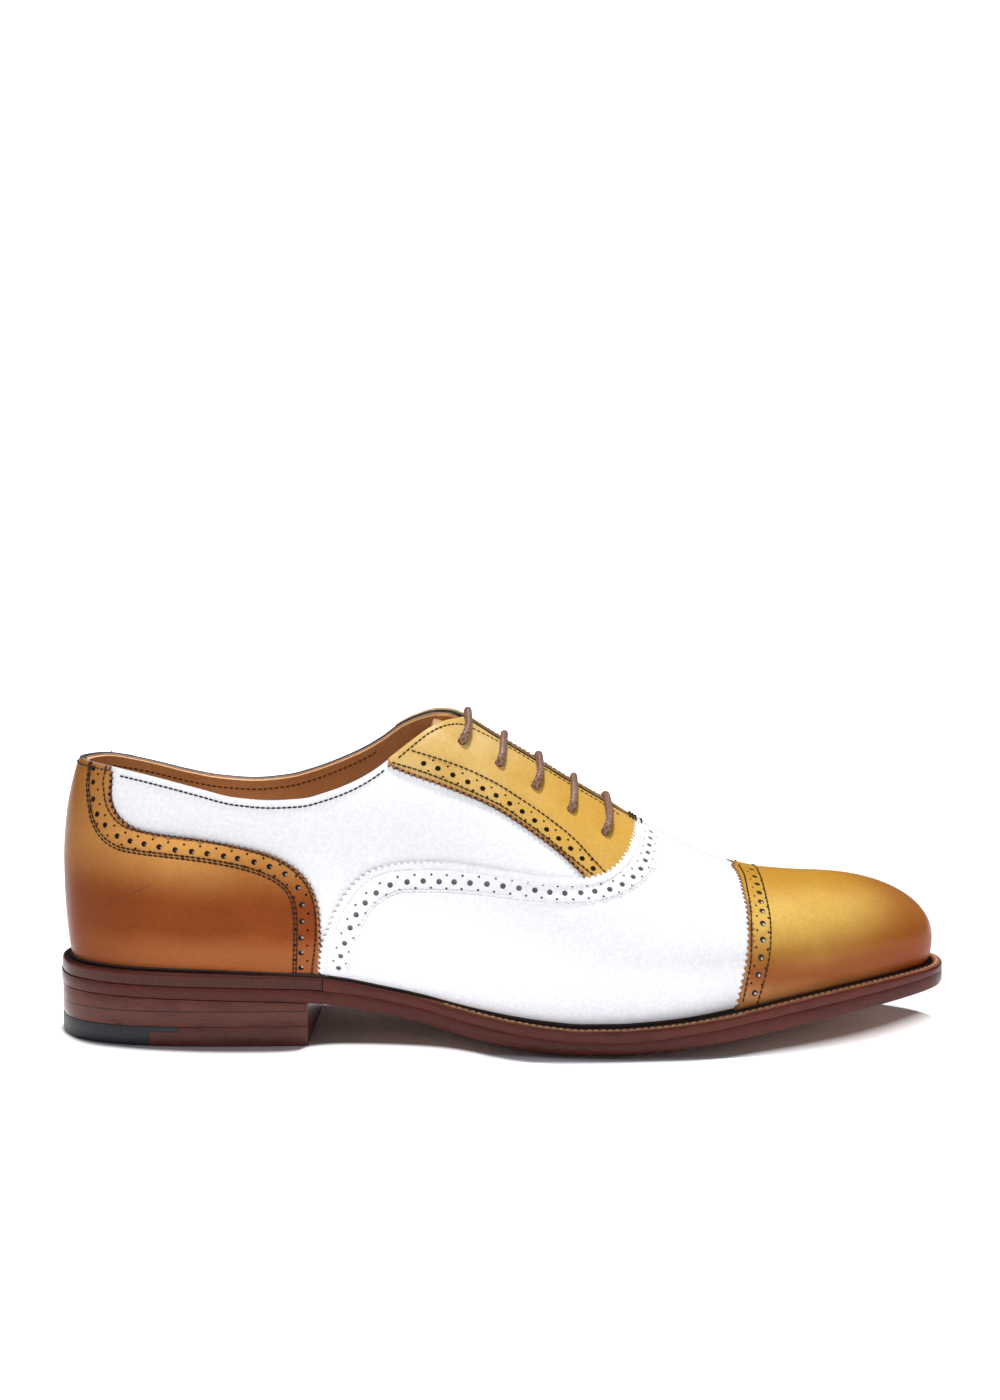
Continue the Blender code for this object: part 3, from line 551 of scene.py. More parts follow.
def seen(px, py):
    """Chart point of the outer side that shows at a place in the picture."""
    for k in range(120):
        d = (k // 2) * 0.4 * (1 if k % 2 else -1)
        loc, _, idx, _ = TREE.ray_cast(Vector(CAM_FROM), view_ray(px, py + d))
        if loc is not None:
            i, j = divmod(idx, RIB)
            q = LOOKED_AT
            a, b, d = (Vector(q[i, j]), Vector(q[i + 1, j]), Vector(q[i, j + 1]))
            e, f, g = b - a, d - a, loc - a
            ee, ef, ff, ge, gf = e.dot(e), e.dot(f), f.dot(f), g.dot(e), g.dot(f)
            det = max(ee * ff - ef * ef, 1e-9)
            u, v = (ff * ge - ef * gf) / det, (ee * gf - ef * ge) / det
            return (i + u - HALF, j + v)
    raise ValueError("nothing there")


def smooth_line(points, step=2.0):
    """Curve through points of the picture, with a point every few pixels."""
    p = [np.array(q, float) for q in points]
    p = [2 * p[0] - p[1]] + p + [2 * p[-1] - p[-2]]
    out = []
    for k in range(1, len(p) - 2):
        a, b, c, d = p[k - 1:k + 3]
        n = max(1, int(np.linalg.norm(c - b) / step))
        for i in range(n):
            t = i / n
            out.append(0.5 * (2 * b + (c - a) * t + (2 * a - 5 * b + 4 * c - d) * t * t
                              + (3 * b - a - 3 * c + d) * t ** 3))
    out.append(p[-2])
    return out


def line_on(points, step=2.0):
    return np.array([seen(q[0], q[1]) for q in smooth_line(points, step)])


def even(cr, step):
    """The same line with a point every step mm along the surface."""
    p = place(cr)
    s = np.concatenate([[0], np.cumsum(np.linalg.norm(np.diff(p, axis=0), axis=1))])
    n = max(2, int(round(s[-1] / step)) + 1)
    t = np.linspace(0, s[-1], n)
    return np.stack([np.interp(t, s, cr[:, 0]), np.interp(t, s, cr[:, 1])], axis=1)


def tangents(cr):
    p = place(cr)
    t = np.gradient(p, axis=0)
    t /= np.maximum(np.linalg.norm(t, axis=1, keepdims=True), 1e-9)
    n = sample(N, cr)
    return p, t, n, np.cross(n, t)


def beside(cr, d):
    """A line d mm to the left of this one, seen from outside."""
    _, _, _, b = tangents(cr)
    return shift_chart(cr, b * d)


def pinked(cr, pitch=2.15, depth=1.25, toward=1):
    """Saw-toothed edge along a line."""
    q = even(cr, pitch / 2)
    _, _, _, b = tangents(q)
    rise = np.zeros(len(q))
    rise[1::2] = depth * toward
    return shift_chart(q, b * rise[:, None])


def circle(cr, radius, sides):
    a = np.arange(sides) * 2 * math.pi / sides
    jc, _ = jacobian([cr])
    n = sample(N, [cr])[0]
    e = jc[0] / max(np.linalg.norm(jc[0]), 1e-9)
    f = np.cross(n, e)
    vec = radius * (np.cos(a)[:, None] * e + np.sin(a)[:, None] * f)
    return shift_chart(np.repeat([cr], sides, axis=0), vec)


# --------------------------------------------------------------- materials
def ramp_between(nt, fac, stops):
    r = nt.nodes.new("ShaderNodeValToRGB")
    els = r.color_ramp.elements
    while len(els) < len(stops):
        els.new(0.5)
    for e, (pos, col) in zip(els, stops):
        e.position, e.color = pos, (*col, 1.0)
    nt.links.new(fac, r.inputs["Fac"])
    return r.outputs["Color"]


def mix(nt, fac, a, b, how="MIX"):
    m = nt.nodes.new("ShaderNodeMix")
    m.data_type, m.blend_type = "RGBA", how
    if isinstance(fac, float):
        m.inputs[0].default_value = fac
    else:
        nt.links.new(fac, m.inputs[0])
    for sock, v in ((m.inputs[6], a), (m.inputs[7], b)):
        if isinstance(v, tuple):
            sock.default_value = (*v, 1.0)
        else:
            nt.links.new(v, sock)
    return m.outputs[2]


def noise(nt, vec, scale, detail=3.0, rough=0.5, distort=0.0):
    n = nt.nodes.new("ShaderNodeTexNoise")
    n.inputs["Scale"].default_value = scale
    n.inputs["Detail"].default_value = detail
    n.inputs["Roughness"].default_value = rough
    n.inputs["Distortion"].default_value = distort
    nt.links.new(vec, n.inputs["Vector"])
    return n.outputs["Fac"]


def scaled(nt, vec, s):
    m = nt.nodes.new("ShaderNodeVectorMath")
    m.operation = "MULTIPLY"
    m.inputs[1].default_value = s
    nt.links.new(vec, m.inputs[0])
    return m.outputs[0]


def math_node(nt, op, a, b=None, c=None):
    m = nt.nodes.new("ShaderNodeMath")
    m.operation = op
    for k, v in enumerate((a, b, c)):
        if v is None:
            continue
        if isinstance(v, (int, float)):
            m.inputs[k].default_value = v
        else:
            nt.links.new(v, m.inputs[k])
    return m.outputs[0]


def map_range(nt, v, lo, hi, a=0.0, b=1.0):
    m = nt.nodes.new("ShaderNodeMapRange")
    m.interpolation_type = "SMOOTHSTEP"
    nt.links.new(v, m.inputs["Value"])
    for name, x in (("From Min", lo), ("From Max", hi), ("To Min", a), ("To Max", b)):
        m.inputs[name].default_value = x
    return m.outputs["Result"]


def start_material(name, rough=0.5, coat=0.0, coat_rough=0.2, sheen=0.0, ior=1.45, spec=0.5):
    m = bpy.data.materials.new(name)
    m.use_nodes = True
    nt = m.node_tree
    b = nt.nodes["Principled BSDF"]
    b.inputs["Roughness"].default_value = rough
    b.inputs["Coat Weight"].default_value = coat
    b.inputs["Coat Roughness"].default_value = coat_rough
    b.inputs["Sheen Weight"].default_value = sheen
    b.inputs["IOR"].default_value = ior
    b.inputs["Specular IOR Level"].default_value = spec
    co = nt.nodes.new("ShaderNodeTexCoord")
    return m, nt, b, co.outputs["Object"], co.outputs["UV"]


def bumped(nt, b, height, strength=0.3, distance=0.0004):
    bump = nt.nodes.new("ShaderNodeBump")
    bump.inputs["Strength"].default_value = strength
    bump.inputs["Distance"].default_value = distance
    nt.links.new(height, bump.inputs["Height"])
    nt.links.new(bump.outputs["Normal"], b.inputs["Normal"])
    return bump


def leather(name, stops, rough=0.35, coat=0.15, coat_rough=0.15, grain=0.18, mottle=22.0, shade=None,
            rough_span=0.12, fine=2600.0, spec=0.5):
    """Calf: mottled colour, fine pores and slight creasing in its gloss.
    shade lists (axis, from, to, colour, amount): a colour mixed in along an axis of the object; most uses are painted
    light and shade."""
    m, nt, b, obj, _ = start_material(name, rough, coat, coat_rough, spec=spec)
    base = ramp_between(nt, noise(nt, obj, mottle, 5.0, 0.6), stops)
    if shade:
        sep = nt.nodes.new("ShaderNodeSeparateXYZ")
        nt.links.new(obj, sep.inputs[0])
        wob = noise(nt, obj, 30.0, 3.0)
        for axis, lo, hi, colour, amount in shade:
            v = math_node(nt, "MULTIPLY_ADD", wob, 0.012, sep.outputs[axis])
            f = math_node(nt, "MULTIPLY", map_range(nt, v, lo, hi), amount)
            base = mix(nt, f, base, colour)
    speck = map_range(nt, noise(nt, obj, 900.0, 2.0), 0.35, 0.75, 0.94, 1.04)
    comb = nt.nodes.new("ShaderNodeCombineXYZ")
    for k in range(3):
        nt.links.new(speck, comb.inputs[k])
    base = mix(nt, 1.0, base, comb.outputs[0], "MULTIPLY")
    nt.links.new(base, b.inputs["Base Color"])
    v = nt.nodes.new("ShaderNodeTexVoronoi")
    v.inputs["Scale"].default_value = fine
    nt.links.new(obj, v.inputs["Vector"])
    pores = math_node(nt, "ADD", math_node(nt, "MULTIPLY", v.outputs["Distance"], 0.5),
                      noise(nt, obj, fine * 0.45, 4.0, 0.6))
    wide = noise(nt, obj, 160.0, 3.0, 0.5, 0.4)
    bumped(nt, b, math_node(nt, "ADD", pores, math_node(nt, "MULTIPLY", wide, 1.6)), grain, 0.00012)
    r = map_range(nt, noise(nt, obj, 60.0, 4.0, 0.6), 0.3, 0.7, rough - rough_span / 2, rough + rough_span / 2)
    nt.links.new(r, b.inputs["Roughness"])
    return m


def plain(name, a, b_col, rough=0.6, scale=300.0, bump=0.2, coat=0.0):
    m, nt, b, obj, _ = start_material(name, rough, coat)
    base = ramp_between(nt, noise(nt, obj, scale, 4.0, 0.6), ((0.3, a), (0.7, b_col)))
    nt.links.new(base, b.inputs["Base Color"])
    bumped(nt, b, noise(nt, obj, scale * 3, 3.0), bump, 0.0001)
    return m


def edge_leather(name, a, b_col, line=None, rough=0.32, coat=0.06, bands=(), ticks=None):
    """Trimmed and waxed leather edge: fibres along it, read from its UV
    (millimetres along and up). bands lists dark lines at heights in metres."""
    m, nt, b, obj, uv = start_material(name, rough, coat, 0.22, spec=0.16)
    fib = noise(nt, scaled(nt, uv, (18.0, 260.0, 1.0)), 1.0, 5.0, 0.65)
    blot = noise(nt, scaled(nt, uv, (7.0, 22.0, 1.0)), 1.0, 4.0, 0.6, 0.3)
    base = ramp_between(nt, math_node(nt, "MULTIPLY_ADD", fib, 0.55, math_node(nt, "MULTIPLY", blot, 0.45)),
                        ((0.25, a), (0.72, b_col)))
    sep = nt.nodes.new("ShaderNodeSeparateXYZ")
    nt.links.new(uv, sep.inputs[0])
    height = math_node(nt, "MULTIPLY", fib, 0.5)
    for v0, half, colour, deep in bands:
        d = math_node(nt, "ABSOLUTE", math_node(nt, "SUBTRACT", sep.outputs[1], v0))
        f = map_range(nt, d, half, half * 2.2, 1.0, 0.0)
        base = mix(nt, math_node(nt, "MULTIPLY", f, 0.85), base, colour)
        height = math_node(nt, "SUBTRACT", height, math_node(nt, "MULTIPLY", f, deep))
    if ticks:
        pitch, v_lo, v_hi, colour, deep = ticks
        w = math_node(nt, "FRACT", math_node(nt, "DIVIDE", sep.outputs[0], pitch))
        w = math_node(nt, "ABSOLUTE", math_node(nt, "SUBTRACT", w, 0.5))
        f = map_range(nt, w, 0.1, 0.28, 1.0, 0.0)
        inside = math_node(nt, "MULTIPLY", map_range(nt, sep.outputs[1], v_lo, v_lo + 0.004),
                           map_range(nt, sep.outputs[1], v_hi - 0.004, v_hi, 1.0, 0.0))
        f = math_node(nt, "MULTIPLY", f, inside)
        base = mix(nt, math_node(nt, "MULTIPLY", f, 0.6), base, colour)
        height = math_node(nt, "SUBTRACT", height, math_node(nt, "MULTIPLY", f, deep))
    nt.links.new(base, b.inputs["Base Color"])
    bumped(nt, b, height, 0.5, 0.00022)
    r = map_range(nt, blot, 0.3, 0.7, rough - 0.08, rough + 0.12)
    nt.links.new(r, b.inputs["Roughness"])
    return m


def thread(name, a, b_col):
    m, nt, b, obj, _ = start_material(name, 0.65, 0.0, spec=0.2)
    base = ramp_between(nt, noise(nt, obj, 2500.0, 3.0), ((0.3, a), (0.7, b_col)))
    nt.links.new(base, b.inputs["Base Color"])
    w = nt.nodes.new("ShaderNodeTexWave")
    w.bands_direction = "DIAGONAL"
    w.inputs["Scale"].default_value = 1500.0
    nt.links.new(obj, w.inputs["Vector"])
    bumped(nt, b, w.outputs["Fac"], 0.3, 0.0001)
    return m


def cord_material(name):
    m, nt, b, obj, uv = start_material(name, 0.48, 0.12, 0.3)
    sep = nt.nodes.new("ShaderNodeSeparateXYZ")
    nt.links.new(uv, sep.inputs[0])
    # braid: two sets of diagonal ribs round the cord
    p = math_node(nt, "SINE", math_node(nt, "MULTIPLY_ADD", sep.outputs[0], 6.2832 * 1.25,
                                        math_node(nt, "MULTIPLY", sep.outputs[1], 6.2832 * 3)))
    q = math_node(nt, "SINE", math_node(nt, "MULTIPLY_ADD", sep.outputs[0], 6.2832 * 1.25,
                                        math_node(nt, "MULTIPLY", sep.outputs[1], -6.2832 * 3)))
    weave = math_node(nt, "MAXIMUM", p, q)
    f = map_range(nt, weave, -0.2, 1.0)
    blot = noise(nt, obj, 420.0, 4.0)
    base = ramp_between(nt, math_node(nt, "MULTIPLY_ADD", f, 0.45, math_node(nt, "MULTIPLY", blot, 0.55)),
                        ((0.2, (0.075, 0.032, 0.018)), (0.75, (0.30, 0.16, 0.10))))
    nt.links.new(base, b.inputs["Base Color"])
    bumped(nt, b, weave, 0.45, 0.00018)
    return m


# The shade list paints shade: the white calf turns greyer towards the bottom of the upper.
WHITE = leather("white_calf", ((0.3, (0.86, 0.87, 0.885)), (0.7, (0.90, 0.905, 0.915))), 0.36, 0.1, 0.2,
                grain=0.07, mottle=9.0, rough_span=0.08, spec=0.35,
                shade=((2, 0.046, 0.022, (0.74, 0.75, 0.785), 0.75),))
WHITE_EDGE = plain("white_cut_edge", (0.55, 0.55, 0.57), (0.70, 0.70, 0.72), 0.7)
INK_EDGE = plain("inked_topline", (0.012, 0.012, 0.016), (0.05, 0.045, 0.05), 0.45)
# Painted light on the toe cap: darker on top and low down (painted shade), lighter again at the very bottom (painted
# reflection of the welt), and darker towards the nose.
CAP_TAN = leather("tan_calf_cap", ((0.25, (0.60, 0.35, 0.066)), (0.75, (0.76, 0.50, 0.125))), 0.34, 0.05, 0.2,
                  grain=0.2, mottle=26.0, spec=0.16,
                  shade=((2, 0.049, 0.060, (0.47, 0.215, 0.009), 0.8), (2, 0.0490, 0.0310, (0.255, 0.052, 0.002), 0.95),
                         (2, 0.0310, 0.0235, (0.54, 0.25, 0.09), 0.7),
                         (0, 0.112, 0.148, (0.26, 0.042, 0.002), 0.8)))
FACING_TAN = leather("tan_calf_facing", ((0.25, (0.54, 0.305, 0.042)), (0.75, (0.76, 0.54, 0.225))), 0.4, 0.04, 0.22,
                     grain=0.22, mottle=34.0, spec=0.16,
                     shade=((2, 0.082, 0.064, (0.72, 0.52, 0.24), 0.6), (0, -0.004, 0.032, (0.60, 0.31, 0.020), 0.65)))
# Painted light on the heel counter: its upper band lighter and yellower where light from above falls; it is also
# lighter low down and darker towards the back.
COUNTER_TAN = leather("tan_calf_counter", ((0.25, (0.174, 0.032, 0.0034)), (0.75, (0.262, 0.058, 0.008))), 0.34, 0.04,
                      0.2, grain=0.2, mottle=20.0, spec=0.06,
                      shade=((2, 0.053, 0.079, (0.80, 0.40, 0.108), 0.88),
                             (2, 0.046, 0.037, (0.35, 0.110, 0.032), 0.75),
                             (0, -0.098, -0.148, (0.155, 0.034, 0.0038), 0.8)))
# Dark brown of the overlays' cut edges, also used for the painted shadow between pinked points.
TAN_CUT_EDGE_AND_NOTCH_SHADE = plain("tan_cut_edge_and_notch_shadow", (0.035, 0.011, 0.005), (0.10, 0.034, 0.012), 0.6)
TAN_TOOTH = plain("tan_pinked_points", (0.27, 0.10, 0.022), (0.42, 0.17, 0.042), 0.55)
FACING_RIM = plain("facing_folded_edge", (0.50, 0.34, 0.15), (0.66, 0.48, 0.25), 0.55)
LINING = leather("lining_calf", ((0.25, (0.64, 0.31, 0.12)), (0.75, (0.86, 0.50, 0.235))), 0.5, 0.04, 0.3,
                 grain=0.3, mottle=24.0)
SOCK = leather("sock_calf", ((0.25, (0.33, 0.15, 0.055)), (0.75, (0.44, 0.21, 0.08))), 0.5, 0.05, grain=0.3)
TONGUE_MAT = leather("tongue_calf", ((0.25, (0.44, 0.25, 0.10)), (0.75, (0.56, 0.34, 0.15))), 0.45, 0.08, grain=0.3)
HOLE_WHITE = plain("punch_shadow_white", (0.10, 0.10, 0.115), (0.19, 0.19, 0.205), 0.8)
HOLE_TAN = plain("punch_shadow_tan", (0.018, 0.008, 0.005), (0.04, 0.02, 0.012), 0.8, scale=500.0)
# Painted light: a pale spot of lit leather at the bottom of a punched hole.
HOLE_LIT_PIP = plain("punch_floor_painted_light", (0.42, 0.40, 0.38), (0.62, 0.61, 0.60), 0.8, scale=500.0)
THREAD_DARK = thread("dark_thread", (0.022, 0.009, 0.006), (0.055, 0.022, 0.012))
THREAD_BLACK = thread("black_thread", (0.008, 0.008, 0.010), (0.03, 0.03, 0.035))
THREAD_WHITE = thread("white_thread", (0.68, 0.69, 0.71), (0.84, 0.85, 0.87))
THREAD_WELT = thread("welt_thread", (0.42, 0.20, 0.09), (0.66, 0.37, 0.19))
WELT_MAT = edge_leather("welt_edge", (0.036, 0.007, 0.005), (0.124, 0.024, 0.0143))
# The shade list paints shade: the welt's top turns near black towards the waist.
WELT_TOP = leather("welt_top", ((0.3, (0.20, 0.070, 0.028)), (0.7, (0.38, 0.155, 0.068))), 0.45, 0.05, grain=0.3,
                   mottle=260.0, spec=0.25, shade=((0, -0.010, -0.034, (0.035, 0.012, 0.008), 1.0),))
# Painted shade: near-black brown for the hidden inner strips of the welt and rand and the bead along the feather line,
# where the gap under the upper lies in shade.
CREVICE_SHADE = plain("painted_crevice_shade", (0.014, 0.006, 0.005), (0.03, 0.013, 0.010), 0.7)
SOLE_EDGE = edge_leather("sole_edge", (0.031, 0.006, 0.0044), (0.108, 0.021, 0.0127))
TREAD_MAT = leather("sole_tread", ((0.25, (0.27, 0.165, 0.11)), (0.75, (0.37, 0.235, 0.165))), 0.42, 0.1, grain=0.3)
RAND_MAT = edge_leather("seat_edge", (0.036, 0.009, 0.0065), (0.112, 0.029, 0.018),
                        ticks=(0.0105, 0.004, 0.030, (0.022, 0.009, 0.007), 0.9))
STACK_MAT = edge_leather("stack_edge", (0.042, 0.0125, 0.010), (0.165, 0.054, 0.038),
                         bands=((0.118, 0.0012, (0.03, 0.01, 0.008), 0.8),))
LIFT_MAT = edge_leather("lift_edge", (0.045, 0.014, 0.012), (0.155, 0.053, 0.040))
RUBBER = plain("heel_rubber_black", (0.007, 0.008, 0.011), (0.020, 0.022, 0.028), 0.5, 700.0, 0.4)
CORD = cord_material("waxed_lace")


# ------------------------------------------------------------ mesh making
def finish_mesh(name, verts, faces, mats, index=None, uvs=None, sharp=38.0, smooth=True):
    me = bpy.data.meshes.new(name)
    me.from_pydata([tuple(v) for v in verts], [], [tuple(f) for f in faces])
    for m in mats:
        me.materials.append(m)
    if index is not None:
        me.polygons.foreach_set("material_index", np.asarray(index, dtype=np.int32))
    if uvs is not None:
        layer = me.uv_layers.new(name="UVMap")
        flat = np.array([uvs[v] for f in faces for v in f], dtype=np.float32).reshape(-1)
        layer.data.foreach_set("uv", flat)
    me.update()
    if smooth:
        me.shade_smooth()
        me.set_sharp_from_angle(angle=math.radians(sharp))
    ob = bpy.data.objects.new(name, me)
    bpy.context.scene.collection.objects.link(ob)
    return ob


def shell(name, cr, faces, hi, lo, mats, mirror=None, soften=0.0, sharp=38.0, tips=None, rim_top=False):
    """Closed sheet over the last between two heights. mirror adds the other
    side's half, welded where the two meet. mats: face, cut edge, back."""
    cr = np.asarray(cr, float)
    pointed = np.zeros(len(cr), bool)
    if tips is not None:
        kd = KDTree(len(tips))
        for i, q in enumerate(tips):
            kd.insert((q[0], q[1], 0.0), i)
        kd.balance()
        pointed = np.array([kd.find((q[0], q[1], 0.0))[2] < 0.02 for q in cr])
    if mirror:
        pointed = np.concatenate([pointed, pointed])
        n0 = len(cr)
        cr = np.concatenate([cr, other_side(cr)])
        faces = list(faces) + [tuple(n0 + i for i in reversed(f)) for f in faces]
    high = cr[:, 1] > top_at(cr[:, 0]) - 0.9
    p, n = sample(P, cr), sample(N, cr)
    key, ids, uniq = {}, [], []
    for k, v in enumerate(np.round(p / 0.02).astype(int)):
        t = tuple(v)
        hit = None
        for d in ((0, 0, 0), (1, 0, 0), (-1, 0, 0), (0, 1, 0), (0, -1, 0), (0, 0, 1), (0, 0, -1)):
            hit = key.get((t[0] + d[0], t[1] + d[1], t[2] + d[2]))
            if hit is not None:
                break
        if hit is None:
            hit = len(uniq)
            key[t] = hit
            uniq.append(k)
        ids.append(hit)
    ids = np.array(ids)
    pos, pointed, high = p[uniq], pointed[uniq], high[uniq]
    nor = np.zeros_like(pos)
    np.add.at(nor, ids, n)
    nor /= np.maximum(np.linalg.norm(nor, axis=1, keepdims=True), 1e-9)
    clean, seen_faces = [], set()
    for f in faces:
        g = []
        for i in f:
            j = int(ids[i])
            if not g or g[-1] != j:
                g.append(j)
        if len(g) > 1 and g[0] == g[-1]:
            g.pop()
        if len(g) < 3 or len(set(g)) < len(g):
            continue
        k = tuple(sorted(g))
        if k in seen_faces:
            continue
        seen_faces.add(k)
        clean.append(g)
    # all faces look outward
    out = []
    for g in clean:
        a, b, c = pos[g[0]], pos[g[1]], pos[g[2]]
        if np.dot(np.cross(b - a, c - a), nor[g[0]] + nor[g[1]] + nor[g[2]]) < 0:
            g = g[::-1]
        out.append(g)
    count = {}
    for g in out:
        for a, b in zip(g, g[1:] + g[:1]):
            count[(a, b)] = count.get((a, b), 0) + 1
    rim = [(a, b) for (a, b) in count if (b, a) not in count]
    m = len(pos)
    drop = np.zeros(m)
    if soften:
        for a, b in rim:
            drop[a] = drop[b] = soften
    used = sorted({i for g in out for i in g})
    remap = -np.ones(m, int)
    remap[used] = np.arange(len(used))
    u = len(used)
    verts = np.concatenate([pos + nor * (hi - drop)[:, None], pos + nor * lo])
    verts = np.concatenate([verts[:m][used], verts[m:][used]])
    fs, index = [], []
    for g in out:
        fs.append([int(remap[i]) for i in g])
        index.append(len(mats) - 1 if pointed[g].any() else 0)
        fs.append([int(remap[i]) + u for i in reversed(g)])
        index.append(2 if name.startswith("upper") else 0)
    for a, b in rim:
        fs.append([int(remap[b]), int(remap[a]), int(remap[a]) + u, int(remap[b]) + u])
        index.append(2 if rim_top and high[a] and high[b] else 1)
    return finish_mesh(name, metres(verts), fs, mats, index, sharp=sharp)


def inside(points, poly):
    """Which points lie in a closed outline."""
    x, y = points[:, 0], points[:, 1]
    hit = np.zeros(len(points), bool)
    a, b = poly, np.roll(poly, -1, axis=0)
    for (x0, y0), (x1, y1) in zip(a, b):
        if y0 == y1:
            continue
        cross = (y0 > y) != (y1 > y)
        hit ^= cross & (x < (x1 - x0) * (y - y0) / (y1 - y0) + x0)
    return hit


def fill(outline, holes=(), step=2.4):
    """Triangles over a region of the chart, with its holes left open."""
    outline = np.asarray(outline, float)
    keep = [0]
    for i in range(1, len(outline)):
        if np.linalg.norm(outline[i] - outline[keep[-1]]) > 0.03:
            keep.append(i)
    outline = outline[keep]
    loops = [outline] + [np.asarray(h, float) for h in holes]
    verts, edges = [], []
    for loop in loops:
        s = len(verts)
        verts += [tuple(q) for q in loop]
        edges += [(s + i, s + (i + 1) % len(loop)) for i in range(len(loop))]
    kd = KDTree(len(verts))
    for i, q in enumerate(verts):
        kd.insert((q[0], q[1], 0.0), i)
    kd.balance()
    lo, hi = outline.min(axis=0), outline.max(axis=0)
    ci = np.arange(math.floor(lo[0] / step), math.ceil(hi[0] / step) + 1)
    rj = np.arange(math.floor(lo[1] / step), math.ceil(hi[1] / step) + 1)
    cc, rr = np.meshgrid(ci, rj, indexing="ij")
    pts = np.stack([cc.ravel() * step, rr.ravel() * step], axis=1)
    idx = cc.ravel().astype(int)
    pts_ok = inside(pts, outline) & (pts[:, 1] < RIB - 0.6)
    for h in loops[1:]:
        near = (np.abs(pts - h.mean(axis=0)) < 6).all(axis=1) & pts_ok
        if near.any():
            k = np.where(near)[0]
            pts_ok[k[inside(pts[k], h)]] = False
    jc, _ = jacobian(pts)
    w = np.linalg.norm(jc, axis=1)
    for limit, mod in ((0.55, 2), (0.28, 4), (0.14, 8), (0.07, 16)):
        pts_ok &= (w > limit) | (idx % mod == 0)
    for k in np.where(pts_ok)[0]:
        q = pts[k]
        if kd.find((q[0], q[1], 0.0))[2] > 0.55 * step:
            verts.append((q[0], q[1]))
    out = delaunay_2d_cdt([Vector(q) for q in verts], edges, [], 0, 1e-6)
    cr = np.array([tuple(v) for v in out[0]])
    tris = [tuple(f) for f in out[2]]
    mid = np.array([cr[list(f)].mean(axis=0) for f in tris])
    ok = inside(mid, outline)
    for h in loops[1:]:
        near = np.where((np.abs(mid - h.mean(axis=0)) < 6).all(axis=1) & ok)[0]
        if len(near):
            ok[near[inside(mid[near], h)]] = False
    return cr, [f for f, k in zip(tris, ok) if k]


def join(name, parts, mats, index=None, uvs=None, sharp=60.0):
    """One mesh of many small closed shapes."""
    verts, faces, mi, uv = [], [], [], []
    for part in parts:
        v, f = part[0], part[1]
        s = sum(len(x) for x in verts)
        verts.append(v)
        faces += [tuple(s + i for i in g) for g in f]
        mi += [part[2] if len(part) > 2 else 0] * len(f)
    return finish_mesh(name, metres(np.concatenate(verts)), faces, mats, mi, sharp=sharp)


class Bag:
    """Collects small shapes to be joined."""

    def __init__(self):
        self.v, self.f, self.m, self.n = [], [], [], 0

    def add(self, verts, faces, mat=0):
        self.v.append(np.asarray(verts, float))
        self.f += [tuple(self.n + i for i in g) for g in faces]
        self.m += [mat] * len(faces)
        self.n += len(verts)

    def build(self, name, mats, sharp=60.0):
        return finish_mesh(name, metres(np.concatenate(self.v)), self.f, mats, self.m, sharp=sharp)


def stitch_shapes(bag, p, t, n, pitch, length, dia, mat=0, sides=6):
    """Rounded stitches along a line of points with tangents and normals."""
    b = np.cross(n, t)
    s = np.concatenate([[0], np.cumsum(np.linalg.norm(np.diff(p, axis=0), axis=1))])
    count = int(s[-1] / pitch)
    if count < 1:
        return
    profile = ((-0.5, 0.45, -0.32), (-0.36, 0.85, -0.06), (0.0, 1.0, 0.06), (0.36, 0.85, -0.06), (0.5, 0.45, -0.32))
    for k in range(count):
        m = (k + 0.5) * s[-1] / count
        ring_pts = []
        for along, fat, high in profile:
            q = m + along * length
            c = np.array([np.interp(q, s, p[:, a]) for a in range(3)])
            tt = np.array([np.interp(q, s, t[:, a]) for a in range(3)])
            nn = np.array([np.interp(q, s, n[:, a]) for a in range(3)])
            bb = np.cross(nn, tt)
            for j in range(sides):
                a = 2 * math.pi * j / sides
                ring_pts.append(c + nn * (high * dia + 0.5 * dia * fat * math.sin(a)) + bb * 0.5 * dia * fat * math.cos(a))
        faces = []
        for r in range(len(profile) - 1):
            for j in range(sides):
                a, c2 = r * sides + j, r * sides + (j + 1) % sides
                faces.append((a, c2, c2 + sides, a + sides))
        faces.append(tuple(range(sides))[::-1])
        last = (len(profile) - 1) * sides
        faces.append(tuple(range(last, last + sides)))
        bag.add(ring_pts, faces, mat)


def stitch_line(bag, cr, height, pitch=1.85, length=1.66, dia=0.62, mat=0, both=True):
    q = even(cr, 0.6)
    for sign in ((1, -1) if both else (1,)):
        c = q if sign > 0 else other_side(q)
        p = place(c, height)
        t = np.gradient(p, axis=0)
        t /= np.maximum(np.linalg.norm(t, axis=1, keepdims=True), 1e-9)
        stitch_shapes(bag, p, t, sample(N, c), pitch, length, dia, mat)


def painted_light_pip(bag, cr, radius, low, high, mat, sign=1):
    """Painted light: a pale spot at the bottom of a hole, off its middle, where light falls on the leather there."""
    c = shift_chart([cr], np.array([[0.36, 0.0, -0.32]]))[0]
    disc(bag, c, radius, low, high, 10, mat, sign)


def disc(bag, cr, radius, low, high, sides, mat=0, sign=1):
    c = np.asarray(cr, float)
    ring_cr = circle(c, radius, sides)
    if sign < 0:
        ring_cr, c = other_side(ring_cr), other_side(c)[0]
    a, b = place(ring_cr, low), place(ring_cr, high)
    m = place([c], high)
    verts = np.concatenate([a, b, m])
    faces = []
    for j in range(sides):
        k = (j + 1) % sides
        quad = (j, k, sides + k, sides + j)
        tri = (sides + j, sides + k, 2 * sides)
        faces += [quad if sign > 0 else quad[::-1], tri if sign > 0 else tri[::-1]]
    faces.append(tuple(range(sides))[::-1] if sign > 0 else tuple(range(sides)))
    bag.add(verts, faces, mat)


PIECES = []


def piece(ob, nodes=()):
    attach(ob, "root")
    if nodes:
        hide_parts(*nodes)
    PIECES.append(ob)
    return ob


